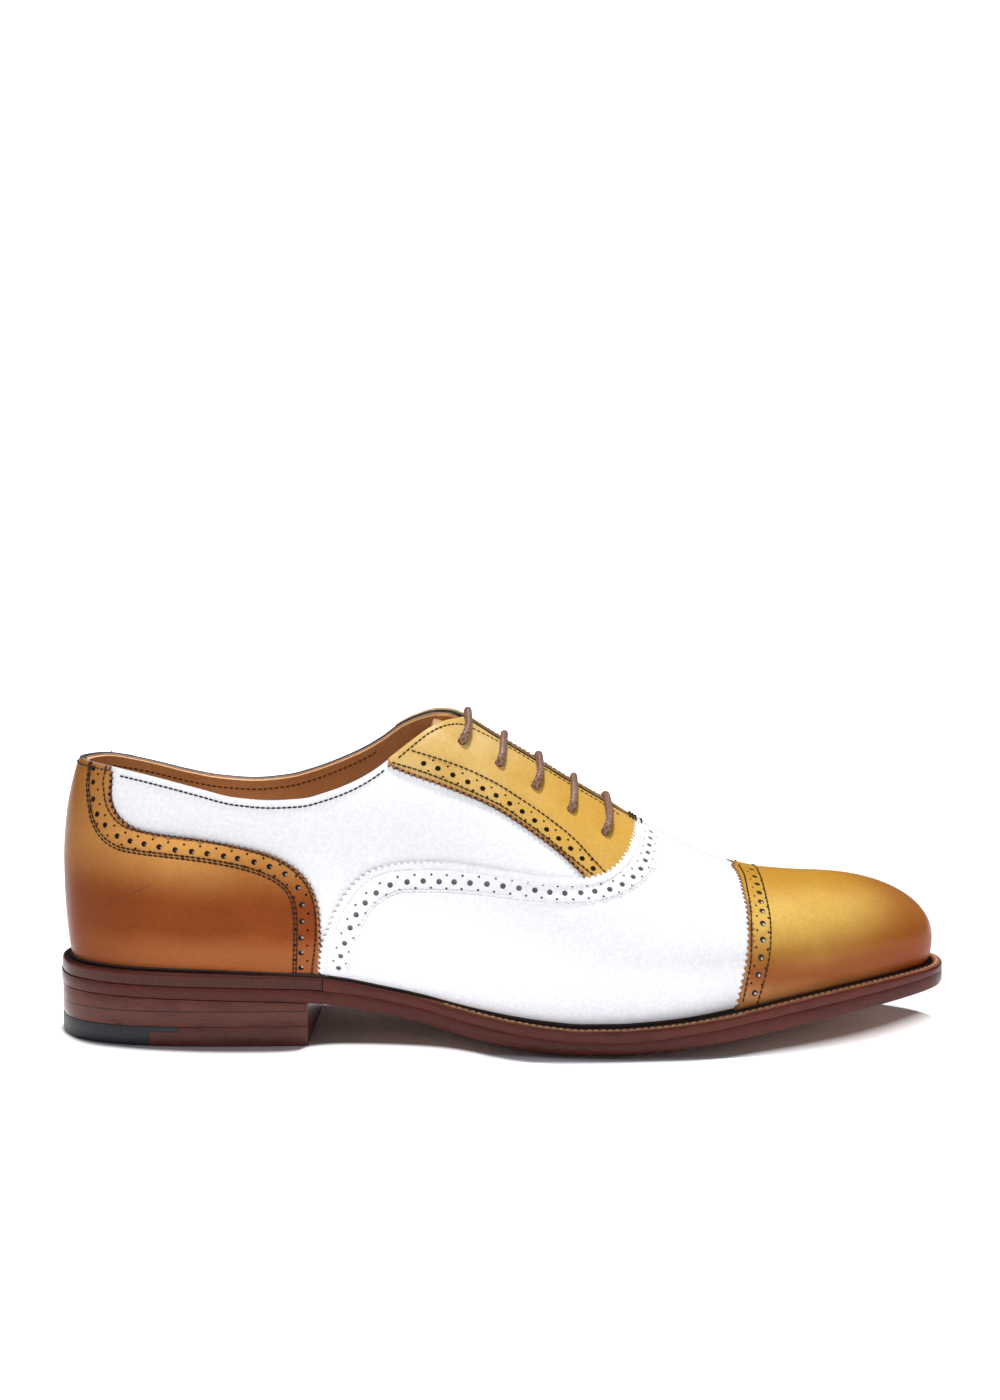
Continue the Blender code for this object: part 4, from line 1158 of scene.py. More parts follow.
# ------------------------------------------------- the pattern of the upper
# Lines over the outer side are given where they show in the picture, and
# the inner side repeats them.
COUNTER_EDGE = ((110.5, 764), (111.8, 772), (112, 779.5), (110.8, 790), (111, 799), (114.6, 809), (122, 819),
                (134.5, 827), (152, 832), (177, 836), (202, 839), (227, 843), (251, 848), (269, 853), (284, 860),
                (299, 870), (310, 883), (316, 896), (320, 911), (321, 929), (321.6, 949), (320, 966), (319, 976))
COUNTER_STITCH_1 = ((106.5, 765), (104.4, 775), (103.4, 784.5), (106, 804), (114.6, 819), (127, 828), (147, 833),
                    (177, 837), (214, 843), (251, 851.6), (276, 860), (294, 871.5), (307, 886.5), (313.6, 904),
                    (315.6, 924), (315, 944), (312.4, 966), (311.6, 975))
COUNTER_STITCH_2 = ((90, 761), (87, 784.5), (88.5, 804), (92, 822), (102, 839), (117, 849), (139.5, 854),
                    (164, 857), (189, 860), (214, 863.6), (239, 868.6), (264, 876.5), (281, 886.5), (290, 899),
                    (293.7, 916), (294, 941), (293, 975))
COUNTER_PUNCH = ((93.5, 768), (93, 782), (93, 799), (97, 814), (105, 825), (117, 836), (130, 841), (144, 844), (159, 847),
                 (175, 850), (191.5, 851.6), (207, 853.6), (223.6, 856), (237.5, 858.6), (254, 862), (269.4, 866.6),
                 (285, 874), (298, 887.5), (302, 905), (302, 921.5), (301, 938), (301, 953), (301, 968))
FACING_EDGE = ((387, 766), (398, 770.5), (412, 776), (449, 789), (486.5, 804), (511, 818), (536, 835), (561, 854),
               (586, 878))
FACING_STITCH_1 = ((391, 762), (424, 772), (462, 787), (499, 804), (524, 820.5), (549, 839), (573.6, 859), (594, 875))
FACING_STITCH_2 = ((411, 750), (449, 762), (474, 772), (499, 784.5), (524, 800.6), (549, 818), (573.6, 838),
                   (598, 864), (606, 873))
FACING_PUNCH = ((423.6, 763), (438, 768), (453, 774.5), (468, 781.5), (483, 788), (496.5, 795), (510, 803),
                (522.6, 811), (535, 820), (547, 829), (559, 838), (571, 848), (582.5, 858), (593.5, 868))
FACING_TOP_STITCH = ((398, 758), (417, 742), (428, 733.5), (439, 727.5), (450, 724.3), (462, 724), (474, 728.5),
                     (511, 748), (549, 771), (573.6, 786), (601, 802), (620, 815))
NECK_EDGE = ((320.5, 976), (321, 966), (322, 954), (325, 941), (330, 929), (337, 911), (350, 891), (365, 876.5),
             (385, 868), (412, 864.5), (449, 865), (474, 868), (511, 874), (549, 879), (574, 880), (588.5, 879),
             (606, 874), (621, 863), (631, 847), (636, 832))
NECK_STITCH = ((345, 978), (348.5, 963), (353.5, 949), (357, 934), (363, 919), (371, 907), (382, 898), (395, 892), (407, 890), (437, 890),
               (474, 892), (511, 896.5), (549, 900.5), (581, 901), (603, 898), (624, 891), (643, 878), (655, 862), (659, 845),
               (658, 836))
NECK_PUNCH = ((338.5, 968.5), (340.5, 956.5), (344.5, 943.6), (350, 928), (356, 915), (365, 903), (376, 893),
              (390, 885), (407, 882), (423, 881), (439, 881.7), (454, 882), (470, 883), (487, 884), (503, 886),
              (519, 888), (535, 890), (550, 892), (565, 893), (581, 892.4), (595, 891), (610, 889), (622.5, 884),
              (633.5, 876.5), (641, 868.3), (645.7, 860), (648.2, 852), (649.6, 844.6), (650.6, 837.6),
              (651.4, 831.2))
CAP_EDGE = ((730.5, 866.5), (735, 871.6), (739, 882), (742, 895), (745, 908), (746, 921), (747, 934), (746, 950),
            (744, 965), (740, 984), (737, 998), (734.5, 1006))
CAP_STITCH_1 = ((738, 866), (743.6, 876), (747, 891), (750, 908), (751, 926), (751, 943), (750, 963), (746, 984),
                (742, 1002))
CAP_PUNCH = ((751.5, 870.5), (754.3, 877.5), (757, 885), (759, 893.5), (760.5, 902.5), (762, 911.7), (762.5, 924),
             (762.5, 940), (760.7, 957.5), (758, 974.5), (754.2, 992.5))
CAP_STITCH_2 = ((755.5, 868), (761, 880), (765, 895), (768.5, 911), (770, 924), (770, 941), (768, 960.5),
                (763.5, 980), (759, 995), (756, 1004))
EYELETS = ((462, 741), (499, 763), (535, 786), (571, 809), (605, 832))

NECK_C = chart_of_x(THROAT_X)           # where the swan neck meets the ridge
CAP_C = chart_of_x(CAP_SEAM_X - 0.9)    # where the cap's edge meets the ridge
FACE_H, VAMP_H, CAP_H, COUNTER_H = 0.95, 1.15, 1.25, 1.25


def to_foot(line, r=0.1):
    """The line carried on down to the feather."""
    q = line[-1]
    return np.concatenate([line, [[q[0], max(r, q[1] * 0.5)], [q[0], r]]]) if q[1] > r + 0.3 else line


def along_top(c0, c1, low, step=0.9):
    n = max(2, int(abs(c1 - c0) / step))
    c = np.linspace(c0, c1, n)
    return np.stack([c, top_at(c) - low], axis=1)


def along_foot(c0, c1, r=0.1, step=1.4):
    n = max(2, int(abs(c1 - c0) / step))
    return np.stack([np.linspace(c0, c1, n), np.full(n, r)], axis=1)


def along_ridge(c0, c1, step=1.5):
    n = max(2, int(abs(c1 - c0) / step))
    return np.stack([np.linspace(c0, c1, n), np.full(n, float(RIB))], axis=1)


def punch_set(line, small=0.42, big=0.95, between=2.05, stride=1):
    """Big holes with a pair of small ones between each two, as (centre,
    radius, sides)."""
    big_at = np.array([seen(*q) for q in line])
    out = [(c, big, 14) for c in big_at]
    p = place(big_at)
    for k in range(len(big_at) - 1):
        mid = 0.5 * (big_at[k] + big_at[k + 1])
        d = p[k + 1] - p[k]
        d /= np.linalg.norm(d)
        n = sample(N, [mid])[0]
        b = np.cross(n, d)
        for s in (-1, 1):
            out.append((shift_chart([mid], np.array([b * s * between]))[0], small, 8))
    return out


def notch_line(bag, teeth):
    """Painted shadow: a dark cord laid between the points of a pinked edge, where shade falls."""
    a, b = teeth[1::2], teeth[2::2]
    k = min(len(a), len(b))
    mid = a[:k] * 0.62 + b[:k] * 0.38
    mid = smooth_chart(mid)
    for sign in (1, -1):
        c = mid if sign > 0 else other_side(mid)
        v, f, _ = tube(place(c, 0.12), 0.4, 6)
        bag.add(v, f if sign > 0 else f, 0)


def smooth_chart(q):
    for _ in range(2):
        q = np.concatenate([q[:1], 0.25 * q[:-2] + 0.5 * q[1:-1] + 0.25 * q[2:], q[-1:]])
    return q


NOTCH_SHADOWS = Bag()


def build_shell_pieces():
    edge_mats = [WHITE, INK_EDGE, WHITE]
    # base: quarters and vamp in one skin, closed round the toe
    def skin_of(name, step, rows, low, below, hi, lo, mats):
        n = int(HALF / step)
        cs = [-HALF + step * k for k in range(n)]
        cs = [c for c in cs if c < -0.4 * step] + [0.0]
        cs += [-c for c in cs[-2::-1]][:-1]
        cr, faces = [], []
        for c in cs:
            t = float(top_at([c])[0])
            t = t if t > RIB - 0.01 else t - below
            cr += [(c, low + (t - low) * j / rows) for j in range(rows + 1)]
        m = len(cs)
        for i in range(m):
            k = (i + 1) % m
            for j in range(rows):
                a, b = i * (rows + 1) + j, k * (rows + 1) + j
                faces.append((a, b, b + 1, a + 1))
        return shell(name, cr, faces, hi, lo, mats)

    base = skin_of("upper_quarters", 1.5, 52, 0.0, 0.0, 0.0, -1.05, edge_mats)
    piece(base, ("upper",))
    lining = skin_of("upper_lining", 2.2, 40, 0.4, 0.55, -1.09, -2.2, [LINING, LINING, LINING])
    piece(lining, ())
    return base, lining


def build_counter():
    edge = line_on(COUNTER_EDGE)
    edge[:, 1] = np.minimum(edge[:, 1], top_at(edge[:, 0]) - 0.35)
    teeth = pinked(edge[:], toward=-TOOTH_SIGN)
    low = to_foot(teeth)
    top_c = teeth[0][0]
    seam = np.linspace(0.1, float(top_at([0.0])[0]) - 0.3, 46)[1:-1]
    loop = np.concatenate([low, along_foot(low[-1][0], 0.0)[1:], np.stack([np.zeros(44), seam], axis=1),
                           along_top(0.0, top_c, 0.3)[:-1]])
    punches = punch_set(COUNTER_PUNCH)
    holes = [circle(c, r, s) for c, r, s in punches]
    cr, tris = fill(loop, holes)
    ob = shell("heel_counter_tan", cr, tris, COUNTER_H, 0.02, [COUNTER_TAN, TAN_CUT_EDGE_AND_NOTCH_SHADE, TAN_TOOTH], mirror=True,
               soften=0.22, tips=teeth[0::2])
    piece(ob, ("heel_counter",))
    notch_line(NOTCH_SHADOWS, teeth)
    bag = Bag()
    for c, r, s in punches:
        for sign in (1, -1):
            disc(bag, c, r * 1.25, 0.03, 0.12, s, 0, sign)
            if r > 0.8:
                painted_light_pip(bag, c, 0.46 if place([c])[0][2] < 60.0 else 0.3, 0.06, 0.2, 1, sign)
    return bag


def build_facings(bag):
    edge = line_on(FACING_EDGE)
    teeth = pinked(edge, toward=TOOTH_SIGN)
    start = seen(388.5, 757)
    front = line_on(((586, 878), (604, 879), (622, 870), (636, 853), (641, 838), (641, 830)))[1:]
    notch_line(NOTCH_SHADOWS, teeth)
    c_throat, c_top = -chart_of_x(THROAT_X - 1.2), start[0]
    lo = along_top(c_throat, c_top, 0.12, 0.8)
    loop = np.concatenate([teeth, front[front[:, 1] < RIB - 3.0], lo])
    punches = punch_set(FACING_PUNCH)
    holes = [circle(c, r, s) for c, r, s in punches]
    eyes = np.array([seen(*q) for q in EYELETS])
    holes += [circle(c, 1.45, 16) for c in eyes]
    cr, tris = fill(loop, holes)
    for sign, tag in ((1, "outer"), (-1, "inner")):
        points = teeth[0::2] if sign > 0 else other_side(teeth[0::2])
        ob = shell("facing_" + tag, cr if sign > 0 else other_side(cr), tris, FACE_H, 0.02,
                   [FACING_TAN, TAN_CUT_EDGE_AND_NOTCH_SHADE, FACING_RIM, TAN_TOOTH], soften=0.18, tips=points, rim_top=True)
        piece(ob, ())
    for c, r, s in punches:
        for sign in (1, -1):
            disc(bag, c, r * 1.25, 0.03, 0.1, s, 0, sign)
    return eyes


def build_vamp():
    edge = line_on(NECK_EDGE)
    end = np.array([[-NECK_C, float(RIB)]])
    edge = np.concatenate([edge[edge[:, 1] < RIB - 2.0], end])
    teeth = pinked(even(edge, 0.8)[::-1], toward=-TOOTH_SIGN)[::-1]
    teeth[-1] = end
    teeth = teeth[teeth[:, 1] > 1.0]
    under_cap = -(CAP_C + 4.0)
    foot = teeth[0]
    loop = np.concatenate([teeth[:], along_ridge(-NECK_C, under_cap)[1:],
                           np.stack([np.full(40, under_cap), np.linspace(RIB, 0.1, 40)], axis=1)[1:],
                           along_foot(under_cap, foot[0])[1:-1]])
    punches = [q for q in punch_set(NECK_PUNCH, between=2.15)]
    holes = [circle(c, r, s) for c, r, s in punches]
    cr, tris = fill(loop, holes)
    ob = shell("vamp_swan_neck", cr, tris, VAMP_H, 0.02, [WHITE, WHITE_EDGE], mirror=True, soften=0.2)
    piece(ob, ())
    bag = Bag()
    for c, r, s in punches:
        for sign in (1, -1):
            disc(bag, c, r * 1.2, 0.03, 0.3, s, 0, sign)
    piece(bag.build("punch_shadows_white", [HOLE_WHITE]), ())


def build_cap(bag):
    edge = line_on(CAP_EDGE)
    end = np.array([[-CAP_C, float(RIB)]])
    edge = np.concatenate([end, edge[edge[:, 1] < RIB - 2.5]])
    teeth = pinked(even(edge, 0.8), toward=TOOTH_SIGN)
    teeth[0] = end
    low = to_foot(teeth)
    loop = np.concatenate([low, along_foot(low[-1][0], -HALF)[1:],
                           np.stack([np.full(44, -float(HALF)), np.linspace(0.1, RIB, 44)], axis=1)[1:],
                           [[-(HEEL_RUN + SIDE_RUN), float(RIB)]],
                           along_ridge(-(HEEL_RUN + SIDE_RUN), -CAP_C)[1:-1]])
    punches = punch_set(CAP_PUNCH, between=2.0, big=1.05)
    holes = [circle(c, r, s) for c, r, s in punches]
    cr, tris = fill(loop, holes)
    ob = shell("toe_cap_tan", cr, tris, VAMP_H + 0.55, 0.02, [CAP_TAN, TAN_CUT_EDGE_AND_NOTCH_SHADE, TAN_TOOTH], mirror=True,
               soften=0.22, tips=teeth[2::2])
    piece(ob, ("toe_cap",))
    notch_line(NOTCH_SHADOWS, teeth[6:])
    for c, r, s in punches:
        for sign in (1, -1):
            disc(bag, c, r * 1.25, VAMP_H + 0.02, VAMP_H + 0.12, s, 0, sign)
            if r > 0.8 and place([c])[0][2] < 46.0:
                painted_light_pip(bag, c, 0.44, VAMP_H + 0.08, VAMP_H + 0.2, 1, sign)


def build_stitching():
    dark, white, black = Bag(), Bag(), Bag()
    for line, h in ((COUNTER_STITCH_1, COUNTER_H), (COUNTER_STITCH_2, COUNTER_H),
                    (FACING_STITCH_1, FACE_H), (FACING_STITCH_2, FACE_H),
                    (CAP_STITCH_1, VAMP_H + 0.55), (CAP_STITCH_2, VAMP_H + 0.55)):
        cr = line_on(line)
        stitch_line(dark, cr, h)
        if line is COUNTER_STITCH_2:
            stitch_line(dark, beside(even(cr, 1.5), 0.95 * TOOTH_SIGN), h)
    cr = line_on(FACING_TOP_STITCH)
    stitch_line(dark, cr, FACE_H, pitch=1.8, length=1.6, dia=0.6)
    for line in (NECK_EDGE, NECK_STITCH):
        cr = line_on(line)
        cr = cr[cr[:, 1] < RIB - 3.0]
        if line is NECK_EDGE:
            cr = beside(even(cr, 1.5), -1.9 * TOOTH_SIGN)
        stitch_line(white, cr, VAMP_H, dia=0.4)
        if line is NECK_STITCH:
            stitch_line(white, beside(even(cr, 1.5), -0.9 * TOOTH_SIGN), VAMP_H, dia=0.4)
    a, b = seen(118, 775)[0], seen(384, 772)[0]
    stitch_line(black, np.array([(c, top_at([c])[0] - 2.7) for c in np.linspace(a, b, 60)]), 0.08,
                pitch=1.75, length=1.6, dia=0.64)
    c = np.linspace(seen(108, 772)[0], 0.0, 50)
    stitch_line(dark, np.stack([c, top_at(c) - 1.9], axis=1), COUNTER_H, pitch=1.75, length=1.6, dia=0.58)
    for sign in (1, -1):
        c = np.linspace(sign * 14.0, sign * chart_of_x(108.0), 240)
        q = np.stack([c, top_at(c) - 4.2], axis=1)
        p = place(q, -2.24)
        t = np.gradient(p, axis=0)
        t /= np.linalg.norm(t, axis=1, keepdims=True)
        stitch_shapes(dark, p, t, -sample(N, q), 2.0, 1.6, 0.5, 0)
    scratch = Bag()
    for line in (((88, 915), (104, 908), (121, 899), (136, 892), (150, 885)), ((122, 931), (131, 927), (139, 925))):
        v, f, _ = tube(place(line_on(line, 1.0), COUNTER_H), 0.1, 6)
        scratch.add(v, f, 0)
    piece(scratch.build("counter_scratch", [plain("scratch_brown", (0.10, 0.022, 0.004), (0.16, 0.04, 0.008), 0.6)]), ())
    # thread drawn twice across the foot of the lacing
    tack = Bag()
    for k, (x, half, mat) in enumerate(((196.6, 4.4, 0), (197.6, 4.8, 0), (198.6, 5.0, 0), (199.6, 5.0, 1),
                                        (200.6, 4.6, 0), (201.6, 4.0, 1))):
        c = chart_of_x(x)
        rows = [(-c, RIB - 3.0 * half / 2.2), (-c, RIB - 1.1), (-c, RIB - 0.01), (c, RIB - 1.1), (c, RIB - 3.0 * half / 2.2)]
        p = place(rows, [1.15, 1.5, 1.6, 1.5, 1.15])
        q = catmull(p, 0.5)
        v, f, _ = tube(q, 0.34, 8)
        tack.add(v, f, mat)
    piece(tack.build("throat_tack", [THREAD_DARK, THREAD_WHITE]), ())
    piece(dark.build("stitching_brown", [THREAD_DARK]), ())
    piece(white.build("stitching_white", [THREAD_WHITE]), ())
    piece(black.build("stitching_topline", [THREAD_BLACK]), ())


TOOTH_SIGN = 1


# ------------------------------------------------------------- the bottom
def sole_line(side, t, d):
    x, y, ex = inset(side, t, d)
    return x, y, ex


def t_of_x(side, x):
    lo, hi = 0.0, float(EDGE.half)
    for _ in range(30):
        mid = 0.5 * (lo + hi)
        if EDGE.at(side, mid)[0][0] < x:
            lo = mid
        else:
            hi = mid
    return 0.5 * (lo + hi)


def around(t_from, t_to, per_mm=0.55):
    """Parameters along one side, spaced evenly along the sole edge."""
    ts = np.linspace(t_from, t_to, 600)
    pts = np.array([EDGE.at(-1, t)[0] for t in ts])
    s = np.concatenate([[0], np.cumsum(np.linalg.norm(np.diff(pts, axis=0), axis=1))])
    n = max(2, int(s[-1] * per_mm))
    return list(np.interp(np.linspace(0, s[-1], n), s, ts))


def swept(name, path, profile, mats, index, closed=False, sharp=50.0):
    """Strip whose section is a ring of (inset, height) points; profile gives
    them for an x. index: material of each side of the ring."""
    verts, uvs, faces, mi = [], [], [], []
    run, last = 0.0, None
    k = None
    for side, t in path:
        pts = profile(side, t)
        here = np.array(pts[0][:2])
        run += 0.0 if last is None else float(np.linalg.norm(here - last))
        last = here
        k = len(pts)
        for x, y, z, v in pts:
            verts.append((x, y, z))
            uvs.append((run * 0.01, v * 0.01))
    n = len(path)
    for i in range(n if closed else n - 1):
        j = (i + 1) % n
        for a in range(k):
            b = (a + 1) % k
            faces.append((i * k + a, j * k + a, j * k + b, i * k + b))
            mi.append(index[a])
    if not closed:
        faces.append(tuple(range(k)))
        faces.append(tuple(range((n - 1) * k, n * k))[::-1])
        mi += [index[0], index[0]]
    ob = finish_mesh(name, metres(verts), faces, mats, mi, uvs, sharp=sharp)
    fix_normals(ob)
    return ob


def fix_normals(ob):
    bm = bmesh.new()
    bm.from_mesh(ob.data)
    bmesh.ops.remove_doubles(bm, verts=bm.verts, dist=1e-6)
    bmesh.ops.recalc_face_normals(bm, faces=bm.faces)
    bm.to_mesh(ob.data)
    bm.free()


def build_welt():
    tl, tm = t_of_x(-1, RAND_FRONT_X + 0.15), t_of_x(1, RAND_FRONT_X + 0.15)
    path = [(-1, t) for t in around(tl, EDGE.half)] + [(1, t) for t in reversed(around(tm, EDGE.half)[:-1])]

    def profile(side, t):
        out = []
        low = lambda x: TREAD(x) + OUTSOLE(x) + 0.08
        for d, base, up in ((0.3, low, -0.04), (0.03, low, -0.02), (0.0, low, 0.05), (0.0, welt_top, -0.75),
                            (0.12, welt_top, -0.25), (0.5, welt_top, 0.0), (1.1, welt_top, 0.02),
                            (1.35, welt_top, -0.25), (2.35, welt_top, -0.25), (2.6, welt_top, 0.02),
                            (3.0, welt_top, 0.0), (None, welt_top, 0.0), (None, low, 0.0)):
            x, y, ex = inset(side, t, (lambda q: FEATHER(q) + RING_WIDTH_IN) if d is None else d)
            z = base(ex) + up
            out.append((x, y, z, z - TREAD(ex)))
        return out

    # Faces of the inner strip, under the upper, take the painted crevice shade.
    index = [0, 0, 0, 0, 0, 1, 1, 1, 1, 1, 2, 2, 2]
    ob = swept("welt_ring", path, profile, [WELT_MAT, WELT_TOP, CREVICE_SHADE], index)
    piece(ob, ("welt",))
    # stitches lie in the groove
    bag = Bag()
    pts = []
    for side, t in path:
        x, y, ex = inset(side, t, 1.85)
        if ex < 132.0:
            continue
        pts.append((x, y, welt_top(ex) + 0.06))
    p = np.array(pts)
    tan = np.gradient(p, axis=0)
    tan /= np.linalg.norm(tan, axis=1, keepdims=True)
    up = np.tile([0.0, 0.0, 1.0], (len(p), 1))
    up -= tan * (up * tan).sum(1)[:, None]
    stitch_shapes(bag, p, tan, up, 2.3, 1.95, 0.85, 0)
    piece(bag.build("welt_stitching", [THREAD_WELT]), ())


def build_feather_shadow():
    """Painted shadow: a dark bead all round along the line where the upper goes under, for the shade in that gap."""
    cs = np.linspace(-HALF, HALF, 460)[:-1]
    pts = []
    for c in cs:
        q = place([(c, 0.5)], 0.95)[0]
        wide = min(max((q[0] - 78.0) / 14.0, 0.0), 1.0) * (1.0 - 0.55 * min(max((q[0] - 215.0) / 35.0, 0.0), 1.0))
        pts.append((q[0], q[1], welt_top(q[0]) + 0.25 + 0.35 * wide, 0.6 + 0.85 * wide))
    n, m = len(pts), 10
    verts, faces = [], []
    p = np.array(pts)
    tan = np.roll(p[:, :3], -1, axis=0) - np.roll(p[:, :3], 1, axis=0)
    tan /= np.linalg.norm(tan, axis=1, keepdims=True)
    for k in range(n):
        out = np.cross(tan[k], (0.0, 0.0, 1.0))
        out /= np.linalg.norm(out)
        up = np.cross(out, tan[k])
        for j in range(m):
            a = 2 * math.pi * j / m
            verts.append(p[k, :3] + out * math.cos(a) * 0.55 + up * math.sin(a) * p[k, 3])
    for k in range(n):
        for j in range(m):
            b = (j + 1) % m
            k2 = (k + 1) % n
            faces.append((k * m + j, k2 * m + j, k2 * m + b, k * m + b))
    ob = finish_mesh("feather_line_shadow", metres(np.array(verts)), faces, [CREVICE_SHADE], [0] * len(faces))
    fix_normals(ob)
    piece(ob, ())


def build_rand():
    tl, tm = t_of_x(-1, RAND_FRONT_X - 0.15), t_of_x(1, RAND_FRONT_X - 0.15)
    path = [(-1, t) for t in reversed(around(0.0, tl))] + [(1, t) for t in around(0.0, tm)[1:]]

    def profile(side, t):
        out = []
        low = lambda x: TREAD(x) + OUTSOLE(x) + 0.08
        for d, base, up in ((0.6, low, -0.04), (0.4, low, 0.03), (0.32, low, 0.2), (0.36, welt_top, -1.3),
                            (0.5, welt_top, -0.5), (1.0, welt_top, -0.1), (1.5, welt_top, 0.0),
                            (1.9, welt_top, -0.5), (None, welt_top, -0.5), (None, low, 0.0)):
            x, y, ex = inset(side, t, (lambda q: FEATHER(q) + RING_WIDTH_IN) if d is None else d)
            z = base(ex) + up
            out.append((x, y, z, z - low(ex)))
        return out

    # The inner strip under the counter takes the painted crevice shade.
    ob = swept("heel_seat_rand", path, profile, [RAND_MAT, CREVICE_SHADE], [0] * 7 + [1] * 3)
    piece(ob, ("heel_rand",))


def slab(name, ts, low, top, mats, lift=lambda x: 0.0, edge_in=0.0, round_low=0.35, round_top=0.35, index=(0, 1, 0), uv_base=None,
         both_ends=True, across=8):
    """Plate over the sole's outline with eased edges. index: edge, underside
    and top materials."""
    verts, uvs, faces, mi = [], [], [], []
    run = 0.0
    last = None
    kk = None
    for t in ts:
        ring_pts = []
        (lx, ly), _ = EDGE.at(-1, t)
        here = np.array((lx, ly))
        run += 0.0 if last is None else float(np.linalg.norm(here - last))
        last = here
        ends = {}
        for side in (-1, 1):
            prof = []
            for d, up, which in ((round_low * 1.6, 0.0, 0), (round_low * 0.35, round_low * 0.35, 0),
                                 (0.0, round_low * 1.2, 0), (0.0, -round_top * 1.2, 1),
                                 (round_top * 0.35, -round_top * 0.35, 1), (round_top * 1.6, 0.0, 1)):
                x, y, ex = inset(side, t, edge_in + d)
                z = (low(ex) + lift(ex) if which == 0 else top(ex)) + up
                prof.append((x, y, z, z - (uv_base(ex) if uv_base else 0.0)))
            ends[side] = prof
        a, b = ends[-1], ends[1]
        ring_pts += a
        for k in range(1, across):
            f = k / across
            x = a[-1][0] * (1 - f) + b[-1][0] * f
            y = a[-1][1] * (1 - f) + b[-1][1] * f
            ring_pts.append((x, y, top(x), 0.0))
        ring_pts += b[::-1]
        for k in range(1, across):
            f = k / across
            x = b[0][0] * (1 - f) + a[0][0] * f
            y = b[0][1] * (1 - f) + a[0][1] * f
            ring_pts.append((x, y, low(x), 0.0))
        kk = len(ring_pts)
        for x, y, z, v in ring_pts:
            verts.append((x, y, z))
            uvs.append((run * 0.01, v * 0.01))
    sides = [index[0]] * 5 + [index[2]] * across + [index[0]] * 5 + [index[1]] * across
    n = len(ts)
    for i in range(n - 1):
        for a in range(kk):
            b = (a + 1) % kk
            faces.append((i * kk + a, (i + 1) * kk + a, (i + 1) * kk + b, i * kk + b))
            mi.append(sides[a])
    if both_ends:
        m = 6 + across - 1
        for base in (0, (n - 1) * kk):
            low_ids = [base] + [base + kk - 1 - k for k in range(across - 1)] + [base + m + 5]
            up_ids = [base + 5 + k for k in range(across)] + [base + 6 + across - 1]
            la, lb = [base + k for k in range(6)], [base + m + 5 - k for k in range(6)]
            outline = la + up_ids[1:-1] + lb[::-1] + low_ids[1:-1][::-1]
            faces.append(tuple(outline))
            mi.append(index[0])
    ob = finish_mesh(name, metres(verts), faces, mats, mi, uvs, sharp=50.0)
    fix_normals(ob)
    return ob


def build_bottom():
    ts = around(0.0, float(EDGE.half))
    ob = slab("outsole_leather", ts, TREAD, lambda x: TREAD(x) + OUTSOLE(x), [SOLE_EDGE, TREAD_MAT, WELT_TOP],
              lift=lambda x: 1.2 * math.exp(-((x - 189.0) / 27.0) ** 2),
              index=(0, 1, 2), uv_base=TREAD, both_ends=False, round_low=0.6, round_top=0.06)
    piece(ob, ("outsole",))

    t_b = t_of_x(-1, HEEL_BREAST_X)
    heel = around(0.0, t_b)
    ob = slab("heel_stack_leather", heel, lambda x: TOP_LIFT + 0.05, lambda x: TREAD(x) - 0.06,
              [STACK_MAT], edge_in=0.3, index=(0, 0, 0), round_low=0.12, round_top=0.2)
    piece(ob, ("heel_stack",))
    t_r = t_of_x(-1, TIP_FRONT_X)
    ob = slab("top_lift_leather", [t for t in around(t_r, t_b)], lambda x: 0.0, lambda x: TOP_LIFT - 0.02,
              [LIFT_MAT, TREAD_MAT], edge_in=0.3, index=(0, 1, 0), round_low=0.35, round_top=0.12)
    piece(ob, ("top_lift",))
    ob = slab("heel_tip_rubber", around(0.0, t_r)[:-1] + [t_r - 0.004], lambda x: 0.0, lambda x: TOP_LIFT - 0.02,
              [RUBBER], edge_in=0.22, index=(0, 0, 0), round_low=0.5, round_top=0.12)
    piece(ob, ("heel_tip",))
    t_q = t_of_x(-1, TIP_FRONT_X + 10.0)
    ob = slab("heel_tip_tongue", around(t_r - 0.03, t_q), lambda x: 4.75, lambda x: TOP_LIFT - 0.06,
              [RUBBER], edge_in=0.18, index=(0, 0, 0), round_low=0.1, round_top=0.1)
    piece(ob, ())


